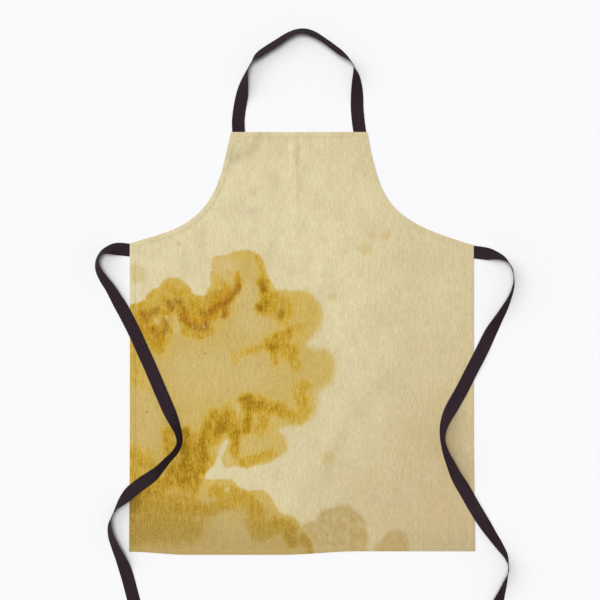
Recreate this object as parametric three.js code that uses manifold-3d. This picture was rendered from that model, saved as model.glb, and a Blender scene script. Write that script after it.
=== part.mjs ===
/**
 * Butcher apron, laid out on its back.
 *
 * Millimetres. +X is to the right of a person who looks down on the front, +Y runs from the bottom
 * hem towards the neck, and +Z rises out of the front of the cloth. The origin is on the underside of
 * the bottom hem, half way along it and half way across it.
 *
 * The cloth is one panel with turned hems and the sewn ends of the tapes behind it. The fold at the
 * waist, where the armholes meet the side edges, divides it into a skirt and a bib.
 */
import * as THREE from 'three';
import { mergeVertices } from 'three/addons/utils/BufferGeometryUtils.js';
import Module from 'manifold-3d';

const wasm = await Module();
wasm.setup();

// ---- The panel ----
const APRON_WIDTH = 686;
const APRON_LENGTH = 840;
const BIB_TOP_WIDTH = 272;
const ARMHOLE_DEPTH = 226;      // from the top edge down to the corners at the waist
const CLOTH_THICKNESS = 0.6;

// ---- The hems behind it ----
const HEM_WIDTH = 10;
const HEM_THICKNESS = 1;        // two turned layers, pressed

// ---- The tape of the neck strap and the ties ----
const TAPE_WIDTH = 25.4;
const TAPE_THICKNESS = 1;
const SEWN_LENGTH = 25;         // how much of a tape lies behind the panel
const TIE_FREE_LENGTH = 914;
const STRAP_INSET = 2.5;        // from the bib's side edge to the neck strap's edge
const TIE_DROP = 0.6;           // from the corner at the waist down to the tie's upper edge
const TURNED_END = 10;          // the end of a tie, turned back on itself
const TAPE_STEP = 8;            // distance between the cross-sections of a tape
const SAMPLES_PER_POINT = 24;   // along a route

// ---- The seams ----
const SEAM_INSET = 9;           // from the edge of the cloth to the middle of the seam
const THREAD_WIDTH = 0.8;
const THREAD_HEIGHT = 0.3;
const BARTACK_LENGTH = 12;
const BARTACK_WIDTH = 2;
const BARTACK_INSET = 19;       // from the edge of the cloth to the bartack

// ---- Clearances ----
const GAP = 0.3;                // between pieces that meet edge to edge
const SWING_GAP = 0.9;          // between a tape that swings and the panel that it leaves
const RAMP = 24;                // over which a tape climbs from the floor onto the panel
const ROOT_RUN = 100;           // over which a tie stays on the floor when it leaves the panel

// ---- Heights and places that follow ----
const PANEL_Z = Math.max(HEM_THICKNESS, TAPE_THICKNESS);
const FRONT_Z = PANEL_Z + CLOTH_THICKNESS;
const ON_PANEL_Z = FRONT_Z + THREAD_HEIGHT + GAP;
const SIDE_X = APRON_WIDTH / 2;
const BOTTOM_Y = -HEM_WIDTH / 2;
const TOP_Y = BOTTOM_Y + APRON_LENGTH;
const WAIST_Y = TOP_Y - ARMHOLE_DEPTH;
const BIB_X = BIB_TOP_WIDTH / 2;
const STRAP_X = BIB_X - STRAP_INSET - TAPE_WIDTH / 2;
const TIE_Y = WAIST_Y - TIE_DROP - TAPE_WIDTH / 2;

// The armhole leaves the bib's corner nearly upright and reaches the waist nearly level.
const ARMHOLE_LEAVES = [28, 147];
const ARMHOLE_ARRIVES = [160, 48];
const ARMHOLE_STEPS = 28;

/**
 * The way that each tape lies: x, y and tilt in degrees at hand-placed points. A tape that bends in
 * its own plane tips up on the outer edge of the bend, and a tilt of 90 stands it on that edge. The
 * tilt is positive where the tape's left edge, seen along its run, is the one that rises.
 */
// The neck strap: x as a share of its own half spacing, y above its start.
const NECK_ROUTE = [
  [-1, 0, 0], [-1.015, 22, 0], [-1.005, 46, 0], [-0.98, 70, -14], [-0.95, 94, -46],
  [-0.9, 118, -76], [-0.83, 135, -84], [-0.72, 150, -56], [-0.57, 163, -50], [-0.41, 175, -50],
  [-0.25, 188, -54], [-0.09, 197, -58], [0.06, 198, -56], [0.2, 192, -54], [0.35, 181, -57],
  [0.5, 168, -56], [0.65, 154, -58], [0.78, 141, -76], [0.85, 129, -85], [0.89, 112, -58],
  [0.905, 92, -34], [0.92, 70, -12], [0.935, 46, 0], [0.965, 22, 0], [1, 0, 0],
];
// The ties: x outwards from the side edge of the apron, y above the middle of the tie's sewn end.
const LEFT_TIE_ROUTE = [
  [0, 0, 0], [22, 2, 10], [40, 0, 44], [55, -6, 70], [63, -21, 70], [61, -38, 56],
  [51, -56, 44], [38, -74, 34], [25, -96, 20], [10, -122, 0], [-8, -157, 0], [-26, -196, 0],
  [-44, -236, 0], [-61, -276, 0], [-75, -308, -10], [-88, -336, -40], [-97, -358, -60],
  [-100, -379, -67], [-91, -398, -63], [-76, -414, -57], [-60, -432, -45], [-43, -448, -18],
  [-25, -461, 0], [-6, -476, 8], [10, -493, 42], [24, -510, 76], [33, -528, 87], [37, -547, 68],
  [34, -569, 54], [25, -592, 42], [15, -615, 28], [7, -639, 6], [0, -664, 0], [-6, -687, 0],
  [-13, -714, 0], [-21, -742, 0], [-30, -772, 0],
];
const RIGHT_TIE_ROUTE = [
  [0, 0, 0], [22, -3, -10], [42, -7, -46], [59, -14, -68], [71, -27, -84], [77, -46, -82],
  [77, -67, -74], [70, -90, -66], [59, -113, -52], [46, -136, -38], [32, -162, -14],
  [16, -196, 0], [-6, -239, 0], [-26, -278, 0], [-41, -304, 10], [-54, -328, 40],
  [-62, -351, 62], [-63, -374, 72], [-57, -398, 64], [-47, -422, 48], [-36, -447, 30],
  [-21, -473, 4], [-4, -505, 0], [14, -537, -12], [32, -566, -36], [48, -590, -52],
  [61, -611, -70], [66, -632, -84], [61, -655, -64], [53, -680, -44], [45, -704, -18],
  [35, -731, 0], [24, -758, 0], [12, -786, 0], [-1, -816, 0],
];

// ---- Solids from geometry ----

/** Turns a geometry into one indexed, merged surface with positions only. */
function bare(geometry) {
  geometry.deleteAttribute('normal');
  geometry.deleteAttribute('uv');
  geometry.clearGroups();
  return mergeVertices(geometry, 1e-4);
}

function toSolid(geometry) {
  const merged = bare(geometry);
  return new wasm.Manifold(new wasm.Mesh({
    numProp: 3,
    vertProperties: new Float32Array(merged.attributes.position.array),
    triVerts: new Uint32Array(merged.index.array),
  }));
}

function toGeometry(solid) {
  const mesh = solid.getMesh();
  const geometry = new THREE.BufferGeometry();
  geometry.setAttribute('position', new THREE.BufferAttribute(mesh.vertProperties, 3));
  geometry.setIndex(new THREE.BufferAttribute(mesh.triVerts, 1));
  return geometry;
}

/** Keeps what lies within a box of the given corners, in X and Y. */
function trim(geometry, [x0, y0], [x1, y1]) {
  const tall = 10 * FRONT_Z;
  const box = slab([x0, y0], [x1, y1], -tall, tall);
  return toGeometry(toSolid(geometry).intersect(toSolid(box)));
}

/** An upright box between two corners and two heights. */
function slab([x0, y0], [x1, y1], z0, z1) {
  const box = new THREE.BoxGeometry(x1 - x0, y1 - y0, z1 - z0);
  return box.translate((x0 + x1) / 2, (y0 + y1) / 2, (z0 + z1) / 2);
}

/** A flat plate with the outline of a list of points. */
function plate(points, z0, z1) {
  const shape = new THREE.Shape(points);
  const options = { depth: z1 - z0, bevelEnabled: false };
  return new THREE.ExtrudeGeometry(shape, options).translate(0, 0, z0);
}

function mirrored(points) {
  return points.map((p) => new THREE.Vector2(-p.x, p.y)).reverse();
}

// ---- The armhole ----

const armhole = new THREE.CubicBezierCurve(
  new THREE.Vector2(BIB_X, TOP_Y),
  new THREE.Vector2(BIB_X + ARMHOLE_LEAVES[0], TOP_Y - ARMHOLE_LEAVES[1]),
  new THREE.Vector2(SIDE_X - ARMHOLE_ARRIVES[0], WAIST_Y + ARMHOLE_ARRIVES[1]),
  new THREE.Vector2(SIDE_X, WAIST_Y),
);

/** The right armhole's edge, moved into the cloth by a distance, from the bib's corner to the waist. */
function armholeLine(inset) {
  return Array.from({ length: ARMHOLE_STEPS + 1 }, (_, step) => {
    const share = step / ARMHOLE_STEPS;
    const along = armhole.getTangent(share);
    const intoCloth = new THREE.Vector2(along.y, -along.x);
    return armhole.getPoint(share).addScaledVector(intoCloth, inset);
  });
}

/** A strip along the right armhole between two distances from its edge. */
function armholeStrip(nearInset, farInset, z0, z1, topY, bottomY) {
  const outline = [...armholeLine(nearInset), ...armholeLine(farInset).reverse()];
  return trim(plate(outline, z0, z1), [0, bottomY], [SIDE_X, topY]);
}

// ---- The tapes ----

/** A route sampled finely: x, y, tilt, and the distance run in plan from its start. */
function traceRoute(points) {
  const curve = new THREE.CatmullRomCurve3(
    points.map(([x, y, tilt]) => new THREE.Vector3(x, y, tilt)), false, 'catmullrom', 0.5);
  let run = 0;
  return curve.getPoints(SAMPLES_PER_POINT * points.length).map((here, i, all) => {
    if (i > 0) run += Math.hypot(here.x - all[i - 1].x, here.y - all[i - 1].y);
    return { x: here.x, y: here.y, tilt: here.z, run };
  });
}

/** The place at a distance along a traced route, which runs on straight and flat past its ends. */
function placeAt(trace, distance) {
  const last = trace.length - 1;
  const found = trace.findIndex((sample) => sample.run >= distance);
  const next = found < 0 ? last : Math.max(1, found);
  const [a, b] = [trace[next - 1], trace[next]];
  const share = (distance - a.run) / (b.run - a.run);
  const within = THREE.MathUtils.clamp(share, 0, 1);
  return {
    x: THREE.MathUtils.lerp(a.x, b.x, share),
    y: THREE.MathUtils.lerp(a.y, b.y, share),
    tilt: THREE.MathUtils.lerp(a.tilt, b.tilt, within),
  };
}

/** Cross-section places between two distances, each with its direction and the height it rests at. */
function stationsAlong(trace, from, to, restAt) {
  const steps = Math.max(1, Math.round((to - from) / TAPE_STEP));
  return Array.from({ length: steps + 1 }, (_, step) => {
    const distance = from + ((to - from) * step) / steps;
    const [before, here, after] = [-1, 0, 1].map((shift) => placeAt(trace, distance + shift));
    const along = new THREE.Vector3(after.x - before.x, after.y - before.y, 0).normalize();
    return { ...here, along, rest: restAt(here.x, here.y, distance) };
  });
}

/** The height that a tie rests at: the floor, or the front of the panel once it has come back in. */
function tieRest(x, y, distance) {
  if (distance < ROOT_RUN) return 0;
  const beyondEdge = Math.max(Math.abs(x) - SIDE_X, BOTTOM_Y - y) - TAPE_WIDTH / 2;
  return ON_PANEL_Z * (1 - THREE.MathUtils.smoothstep(beyondEdge, 0, RAMP));
}

/**
 * A flat bar bent along stations. Its width leans by the tilt, so that one edge of the tape stays at
 * the resting height, and z0 and z1 are the heights of its two faces over that rest. Both faces are
 * split along the same diagonals, so that the bar keeps its thickness where it twists.
 */
function bentBar(stations, width, z0, z1) {
  const section = [[-width / 2, z0], [width / 2, z0], [width / 2, z1], [-width / 2, z1]];
  const sides = section.length;
  const up = new THREE.Vector3(0, 0, 1);
  const points = stations.flatMap(({ x, y, tilt, along, rest }) => {
    const lean = THREE.MathUtils.degToRad(tilt);
    const left = new THREE.Vector3(-along.y, along.x, 0);
    const across = left.clone().multiplyScalar(Math.cos(lean)).addScaledVector(up, Math.sin(lean));
    const face = left.clone().multiplyScalar(-Math.sin(lean)).addScaledVector(up, Math.cos(lean));
    const foot = new THREE.Vector3(x, y, rest + (TAPE_WIDTH / 2) * Math.abs(Math.sin(lean)));
    return section.map(([aside, height]) => foot.clone()
      .addScaledVector(across, aside).addScaledVector(face, height));
  });
  const triangles = [[0, 2, 1], [0, 3, 2]];
  for (let station = 0; station < stations.length - 1; station += 1) {
    for (let side = 0; side < sides; side += 1) {
      const [a, b] = [station * sides + side, station * sides + ((side + 1) % sides)];
      const [d, c] = [a + sides, b + sides];
      triangles.push(...(side < 2 ? [[a, b, c], [a, c, d]] : [[a, b, d], [b, c, d]]));
    }
  }
  const end = (stations.length - 1) * sides;
  triangles.push([end, end + 1, end + 2], [end, end + 2, end + 3]);
  const bar = new THREE.BufferGeometry().setFromPoints(points);
  return bar.setIndex(triangles.flat());
}

// ---- Placing the pieces ----

const apron = new THREE.Group();
const canvas = { color: 0xd7c99c, roughness: 0.93, metalness: 0 };
const turnedCanvas = { color: 0xcdbf93, roughness: 0.95, metalness: 0 };
const darkTape = { color: 0x362a30, roughness: 0.85, metalness: 0 };
const creamThread = { color: 0xe3d9b8, roughness: 0.7, metalness: 0 };
const darkThread = { color: 0x2b2226, roughness: 0.7, metalness: 0 };

function add(name, geometry, finish) {
  const mesh = new THREE.Mesh(geometry, new THREE.MeshStandardMaterial(finish));
  mesh.name = name;
  apron.add(mesh);
}

/** Adds a piece made for the right side and its mirror image on the left. */
function addPair(name, geometry, finish) {
  const left = geometry.clone().scale(-1, 1, 1);
  const flipped = left.index ? left : bare(left);
  const corners = flipped.index.array;
  for (let i = 0; i < corners.length; i += 3) {
    [corners[i], corners[i + 1]] = [corners[i + 1], corners[i]];
  }
  add(`right_${name}`, geometry, finish);
  add(`left_${name}`, flipped, finish);
}

function addPanels() {
  const skirt = slab([-SIDE_X, BOTTOM_Y], [SIDE_X, WAIST_Y], PANEL_Z, FRONT_Z);
  add('skirt_panel', skirt, canvas);
  const edge = armholeLine(0);
  const bib = plate([...edge, ...mirrored(edge)], PANEL_Z, FRONT_Z);
  add('bib_panel', trim(bib, [-SIDE_X, WAIST_Y + GAP], [SIDE_X, TOP_Y]), canvas);
}

function addHems() {
  const z0 = PANEL_Z - HEM_THICKNESS;
  const tieLowerEdge = TIE_Y - TAPE_WIDTH / 2;
  const betweenStraps = STRAP_X - TAPE_WIDTH / 2 - GAP;
  add('bottom_hem', slab([-SIDE_X, BOTTOM_Y], [SIDE_X, BOTTOM_Y + HEM_WIDTH], z0, PANEL_Z), turnedCanvas);
  add('top_hem',
    slab([-betweenStraps, TOP_Y - HEM_WIDTH], [betweenStraps, TOP_Y], z0, PANEL_Z), turnedCanvas);
  addPair('side_hem',
    slab([SIDE_X - HEM_WIDTH, BOTTOM_Y + HEM_WIDTH + GAP], [SIDE_X, tieLowerEdge - GAP], z0, PANEL_Z),
    turnedCanvas);
  addPair('armhole_hem',
    armholeStrip(0, HEM_WIDTH, z0, PANEL_Z, TOP_Y - SEWN_LENGTH - GAP, WAIST_Y + GAP), turnedCanvas);
}

function addSewnEnds() {
  const [z0, z1] = [PANEL_Z - TAPE_THICKNESS, PANEL_Z];
  const half = TAPE_WIDTH / 2;
  addPair('neck_strap_end',
    slab([STRAP_X - half, TOP_Y - SEWN_LENGTH], [STRAP_X + half, TOP_Y], z0, z1), darkTape);
  addPair('tie_sewn_end',
    slab([SIDE_X - SEWN_LENGTH, TIE_Y - half], [SIDE_X, TIE_Y + half], z0, z1), darkTape);
}

function addSeams() {
  const [z0, z1] = [FRONT_Z, FRONT_Z + THREAD_HEIGHT];
  const half = THREAD_WIDTH / 2;
  const sideSeamX = SIDE_X - SEAM_INSET;
  const bottomSeamY = BOTTOM_Y + SEAM_INSET;
  const topSeamY = TOP_Y - SEAM_INSET;
  const topSeamEnd = BIB_X - SEAM_INSET - HEM_WIDTH / 2;
  add('bottom_hem_stitching',
    slab([-SIDE_X + half, bottomSeamY - half], [SIDE_X - half, bottomSeamY + half], z0, z1), creamThread);
  add('top_hem_stitching',
    slab([-topSeamEnd, topSeamY - half], [topSeamEnd, topSeamY + half], z0, z1), creamThread);
  addPair('side_stitching',
    slab([sideSeamX - half, bottomSeamY + half + GAP], [sideSeamX + half, WAIST_Y - GAP], z0, z1),
    creamThread);
  addPair('armhole_stitching',
    armholeStrip(SEAM_INSET - half, SEAM_INSET + half, z0, z1, TOP_Y - half, WAIST_Y + GAP), creamThread);
}

function addBartacks() {
  const [z0, z1] = [FRONT_Z, FRONT_Z + THREAD_HEIGHT];
  const [halfLong, halfWide] = [BARTACK_LENGTH / 2, BARTACK_WIDTH / 2];
  const strapTackX = BIB_X - SEAM_INSET - THREAD_WIDTH - GAP - halfLong;
  const strapTackY = TOP_Y - BARTACK_INSET;
  const tieTackX = SIDE_X - BARTACK_INSET;
  addPair('neck_strap_bartack', slab([strapTackX - halfLong, strapTackY - halfWide],
    [strapTackX + halfLong, strapTackY + halfWide], z0, z1), creamThread);
  addPair('tie_bartack', slab([tieTackX - halfWide, TIE_Y - halfLong],
    [tieTackX + halfWide, TIE_Y + halfLong], z0, z1), creamThread);
}

function addNeckStrap() {
  const startY = TOP_Y + SWING_GAP;
  const trace = traceRoute(NECK_ROUTE.map(([share, y, tilt]) => [share * STRAP_X, startY + y, tilt]));
  const length = trace[trace.length - 1].run;
  const stations = stationsAlong(trace, 0, length, () => 0);
  stations[0].along.set(0, 1, 0);
  stations[stations.length - 1].along.set(0, -1, 0);
  add('neck_strap_loop', bentBar(stations, TAPE_WIDTH, 0, TAPE_THICKNESS), darkTape);
}

/** A tie with its turned end and the seam across it. Side is 1 on the right and -1 on the left. */
function addTie(name, side, route) {
  const trace = traceRoute(route.map(([out, y, tilt]) => [side * (SIDE_X + GAP + out), TIE_Y + y, tilt]));
  const stations = stationsAlong(trace, 0, TIE_FREE_LENGTH, tieRest);
  stations[0].along.set(side, 0, 0);
  add(name, bentBar(stations, TAPE_WIDTH, 0, TAPE_THICKNESS), darkTape);
  const turnedFrom = TIE_FREE_LENGTH - TURNED_END;
  const turned = stationsAlong(trace, turnedFrom, TIE_FREE_LENGTH, tieRest);
  const top = 2 * TAPE_THICKNESS;
  add(`${name}_turned_end`, bentBar(turned, TAPE_WIDTH, TAPE_THICKNESS, top), darkTape);
  const seamFrom = turnedFrom + (TURNED_END - THREAD_WIDTH) / 3;
  const seam = stationsAlong(trace, seamFrom, seamFrom + THREAD_WIDTH, tieRest);
  const seamWidth = TAPE_WIDTH - 2 * THREAD_WIDTH;
  add(`${name}_end_stitching`, bentBar(seam, seamWidth, top, top + THREAD_HEIGHT), darkThread);
}

addPanels();
addHems();
addSewnEnds();
addSeams();
addBartacks();
addNeckStrap();
addTie('left_tie', -1, LEFT_TIE_ROUTE);
addTie('right_tie', 1, RIGHT_TIE_ROUTE);

export default apron;
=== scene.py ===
"""The looks of a butcher apron laid out flat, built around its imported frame.

Metres, in the frame of the CAD: +X to the right, +Y from the bottom hem to the neck, +Z out of the
front of the cloth, with the table at z = 0. Every shape is a numpy surface: a function of two
parameters on a grid, or a profile carried along a path.
"""

import logging
from dataclasses import dataclass
from enum import Enum
from typing import Any

import bpy
import numpy as np
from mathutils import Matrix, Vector


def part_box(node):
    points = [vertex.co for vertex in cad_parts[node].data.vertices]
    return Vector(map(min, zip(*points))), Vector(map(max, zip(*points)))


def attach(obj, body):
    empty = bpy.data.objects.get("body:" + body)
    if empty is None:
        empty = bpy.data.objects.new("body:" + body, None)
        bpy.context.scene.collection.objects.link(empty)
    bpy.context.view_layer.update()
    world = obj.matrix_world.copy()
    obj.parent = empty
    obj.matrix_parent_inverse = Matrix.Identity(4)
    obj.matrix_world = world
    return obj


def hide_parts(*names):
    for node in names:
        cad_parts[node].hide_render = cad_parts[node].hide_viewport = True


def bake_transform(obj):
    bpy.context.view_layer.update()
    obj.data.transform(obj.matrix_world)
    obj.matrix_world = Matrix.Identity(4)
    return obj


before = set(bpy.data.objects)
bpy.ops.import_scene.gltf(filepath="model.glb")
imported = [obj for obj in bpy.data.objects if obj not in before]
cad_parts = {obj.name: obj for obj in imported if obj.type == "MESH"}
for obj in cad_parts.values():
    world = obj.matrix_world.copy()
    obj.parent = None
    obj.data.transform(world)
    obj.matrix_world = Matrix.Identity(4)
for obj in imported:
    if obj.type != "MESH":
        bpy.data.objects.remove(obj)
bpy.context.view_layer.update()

log = logging.getLogger("butcher_apron")
MM = 0.001


# ---- Sizes that several pieces share ----

SKIRT_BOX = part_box("skirt_panel")
SIDE_X = SKIRT_BOX[1].x
BOTTOM_Y = SKIRT_BOX[0].y
WAIST_Y = SKIRT_BOX[1].y
TOP_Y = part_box("bib_panel")[1].y
HEM_THICKNESS = SKIRT_BOX[0].z
CLOTH_THICKNESS = SKIRT_BOX[1].z - SKIRT_BOX[0].z
BIB_X = 136 * MM
HEM_WIDTH = 10 * MM
SEAM_INSET = 9 * MM
TAPE_WIDTH = 25.4 * MM
TAPE_THICKNESS = 1 * MM
SEWN_LENGTH = 25 * MM
STRAP_X = (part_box("right_neck_strap_end")[0].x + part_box("right_neck_strap_end")[1].x) / 2
TIE_Y = (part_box("right_tie_sewn_end")[0].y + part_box("right_tie_sewn_end")[1].y) / 2
STRAP_START_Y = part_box("neck_strap_loop")[0].y
GAP = 0.3 * MM
TIE_START_X = SIDE_X + GAP
TIE_FREE_LENGTH = 914 * MM
TURNED_END = 10 * MM
ON_PANEL_Z = 2.2 * MM
RAMP = 24 * MM
ROOT_RUN = 100 * MM
BLEND_RUN = 30 * MM

# The way that each tape lies: x, y in millimetres and tilt in degrees. The neck strap's x is a share
# of its half spacing, and its y starts where it leaves the bib. A tie's x runs outwards from the side
# of the apron, and its y from the middle of its sewn end.
NECK_ROUTE = (
    (-1, 0, 0), (-1.015, 22, 0), (-1.005, 46, 0), (-0.98, 70, -14), (-0.95, 94, -46),
    (-0.9, 118, -76), (-0.83, 135, -84), (-0.72, 150, -56), (-0.57, 163, -50), (-0.41, 175, -50),
    (-0.25, 188, -54), (-0.09, 197, -58), (0.06, 198, -56), (0.2, 192, -54), (0.35, 181, -57),
    (0.5, 168, -56), (0.65, 154, -58), (0.78, 141, -76), (0.85, 129, -85), (0.89, 112, -58),
    (0.905, 92, -34), (0.92, 70, -12), (0.935, 46, 0), (0.965, 22, 0), (1, 0, 0),
)
LEFT_TIE_ROUTE = (
    (0, 0, 0), (22, 2, 10), (40, 0, 44), (55, -6, 70), (63, -21, 70), (61, -38, 56),
    (51, -56, 44), (38, -74, 34), (25, -96, 20), (10, -122, 0), (-8, -157, 0), (-26, -196, 0),
    (-44, -236, 0), (-61, -276, 0), (-75, -308, -10), (-88, -336, -40), (-97, -358, -60),
    (-100, -379, -67), (-91, -398, -63), (-76, -414, -57), (-60, -432, -45), (-43, -448, -18),
    (-25, -461, 0), (-6, -476, 8), (10, -493, 42), (24, -510, 76), (33, -528, 87), (37, -547, 68),
    (34, -569, 54), (25, -592, 42), (15, -615, 28), (7, -639, 6), (0, -664, 0), (-6, -687, 0),
    (-13, -714, 0), (-21, -742, 0), (-30, -772, 0),
)
RIGHT_TIE_ROUTE = (
    (0, 0, 0), (22, -3, -10), (42, -7, -46), (59, -14, -68), (71, -27, -84), (77, -46, -82),
    (77, -67, -74), (70, -90, -66), (59, -113, -52), (46, -136, -38), (32, -162, -14),
    (16, -196, 0), (-6, -239, 0), (-26, -278, 0), (-41, -304, 10), (-54, -328, 40),
    (-62, -351, 62), (-63, -374, 72), (-57, -398, 64), (-47, -422, 48), (-36, -447, 30),
    (-21, -473, 4), (-4, -505, 0), (14, -537, -12), (32, -566, -36), (48, -590, -52),
    (61, -611, -70), (66, -632, -84), (61, -655, -64), (53, -680, -44), (45, -704, -18),
    (35, -731, 0), (24, -758, 0), (12, -786, 0), (-1, -816, 0),
)


class Side(Enum):
    """Which half of the apron a piece belongs to, with the sign of its X."""

    LEFT = -1
    RIGHT = 1


# ---- Numbers over a surface ----

def smooth(value: np.ndarray, low: float, high: float) -> np.ndarray:
    """Rises from 0 at low to 1 at high as 3t^2 - 2t^3, where t is the share of the way."""
    share = np.clip((value - low) / (high - low), 0.0, 1.0)
    return share * share * (3 - 2 * share)


def ridge(distance: np.ndarray, width: float) -> np.ndarray:
    """A rounded ridge of height 1, exp(-(distance / width)^2)."""
    return np.exp(-((distance / width) ** 2))


def to_segment(x: np.ndarray, y: np.ndarray, a: tuple[float, float], b: tuple[float, float]) -> np.ndarray:
    """Distance of points from a straight line between two places.

    Args:
        x: X of the points.
        y: Y of the points.
        a: One end of the line.
        b: Its other end.

    Returns:
        The distances, as |p - (a + t (b - a))| with t kept between 0 and 1.
    """
    along = (b[0] - a[0], b[1] - a[1])
    share = ((x - a[0]) * along[0] + (y - a[1]) * along[1]) / (along[0] ** 2 + along[1] ** 2)
    share = np.clip(share, 0, 1)
    return np.hypot(x - a[0] - share * along[0], y - a[1] - share * along[1])


def to_line(x: np.ndarray, y: np.ndarray, places: tuple) -> np.ndarray:
    """Distance of points from a line of straight lengths, the least of those from each length."""
    return np.minimum.reduce([to_segment(x, y, a, b) for a, b in zip(places, places[1:])])


def depth_in(x: np.ndarray, y: np.ndarray, corners: tuple) -> np.ndarray:
    """How deep points lie inside a closed outline with its corners rounded.

    Each corner is cut off a quarter of the way along both its sides, twice. A point is inside where a
    level ray from it crosses the outline an odd number of times.

    Args:
        x: X of the points.
        y: Y of the points.
        corners: Corners of the outline, in order.

    Returns:
        The distances from the outline, positive inside it and negative outside.
    """
    outline = np.array(corners, float)
    for _ in range(2):
        following = np.roll(outline, -1, axis=0)
        pair = (0.75 * outline + 0.25 * following, 0.25 * outline + 0.75 * following)
        outline = np.stack(pair, axis=1).reshape(-1, 2)
    nearest = np.full_like(x, np.inf)
    inside = np.zeros(x.shape, bool)
    for a, b in zip(outline, np.roll(outline, -1, axis=0)):
        nearest = np.minimum(nearest, to_segment(x, y, a, b))
        if a[1] != b[1]:
            crossing = a[0] + (y - a[1]) / (b[1] - a[1]) * (b[0] - a[0])
            inside ^= ((a[1] > y) != (b[1] > y)) & (x < crossing)
    return np.where(inside, nearest, -nearest)


def run_along(line: np.ndarray) -> np.ndarray:
    """Distance from a line's first point to each of its points, along it in plan."""
    return np.concatenate(([0], np.cumsum(np.hypot(*np.diff(line[:, :2], axis=0).T))))


def along_line(distance: np.ndarray, run: np.ndarray, line: np.ndarray) -> np.ndarray:
    """Places in plan at distances along a line whose points are at the distances of run."""
    return np.stack([np.interp(distance, run, line[:, i]) for i in (0, 1)], axis=-1)


def strokes(x: np.ndarray, y: np.ndarray, parts: tuple) -> np.ndarray:
    """Strength of soft brush strokes, (sum (strength / (1 + (distance / width)^4))^3)^(1/3).

    Args:
        x: X of the points.
        y: Y of the points.
        parts: The strokes, each as (strength, width, places...).

    Returns:
        The strengths, at most about the greatest of the strokes'.
    """
    total = np.zeros_like(x)
    for strength, width, *places in parts:
        total += (strength / (1 + (to_line(x, y, places) / width) ** 4)) ** 3
    return total ** (1 / 3)


def rumple(x: np.ndarray, y: np.ndarray, seed: int, longest: float, waves: int = 26) -> np.ndarray:
    """Slow, uneven waves: the mean of many sines that run in different directions.

    Args:
        x: X of the points.
        y: Y of the points.
        seed: Picks the directions, so that the waves are the same each time.
        longest: The longest wave, in metres; the shortest is a quarter of it.
        waves: How many sines.

    Returns:
        Heights between about -1 and 1.
    """
    draw = np.random.default_rng(seed)
    angle = draw.uniform(0, np.pi, waves)
    length = longest * draw.uniform(0.25, 1, waves)
    phase = draw.uniform(0, 2 * np.pi, waves)
    total = np.zeros_like(x)
    for turn, wave, start in zip(angle, length, phase):
        total += wave / longest * np.sin(2 * np.pi * (x * np.cos(turn) + y * np.sin(turn)) / wave + start)
    return total / np.sqrt(waves / 3)


@dataclass(frozen=True)
class Lie:
    """How the apron was laid down: a little askew, as a person leaves it.

    Attributes:
        bib_shift: How far the bib and the foot of the neck strap lie to the left.
        corner_rise: How far the left corner of the waist is pulled up.
        hem_left: How far the left corner of the bottom hem is pulled up.
        hem_sag: How far the hem sags left of its middle.
        hem_right: How far its right half is pulled up.
        flare: How far the skirt's lower corners stand out.
    """

    bib_shift: float = 6 * MM
    corner_rise: float = 4 * MM
    hem_left: float = 3 * MM
    hem_sag: float = 3 * MM
    hem_right: float = 4 * MM
    flare: float = 2.5 * MM

    def settle(self, points: np.ndarray) -> np.ndarray:
        """Moves points in the plane, by a sum of smooth steps in x and y.

        Args:
            points: Points of the apron as it was drawn, n by 3.

        Returns:
            The same points where the laid-out apron has them.
        """
        x, y = points[:, 0], points[:, 1]
        bib = smooth(y, WAIST_Y - 5 * MM, WAIST_Y + 95 * MM)
        strap = 1 - smooth(y, TOP_Y - 30 * MM, TOP_Y + 110 * MM)
        low = 1 - smooth(y, BOTTOM_Y, BOTTOM_Y + 150 * MM)
        on_cloth = 1 - smooth(BOTTOM_Y - y, 0, 60 * MM)
        corner = smooth(-x, 230 * MM, 335 * MM) * np.exp(-(((y - WAIST_Y) / (110 * MM)) ** 2))
        hem = (
            self.hem_left
            - (self.hem_left + self.hem_sag) * smooth(x, -340 * MM, -230 * MM)
            + (self.hem_sag + self.hem_right) * smooth(x, -40 * MM, 110 * MM)
        )
        moved = points.copy()
        corners = smooth(x, 200 * MM, 340 * MM) - 0.5 * smooth(-x, 200 * MM, 340 * MM)
        flare = self.flare * corners * (1 - smooth(y, BOTTOM_Y, BOTTOM_Y + 260 * MM)) * on_cloth
        moved[:, 0] += flare
        moved[:, 0] -= self.bib_shift * bib * strap
        moved[:, 1] += self.corner_rise * corner + hem * low * on_cloth
        return moved


LIE = Lie()


# ---- Meshes ----

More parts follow.
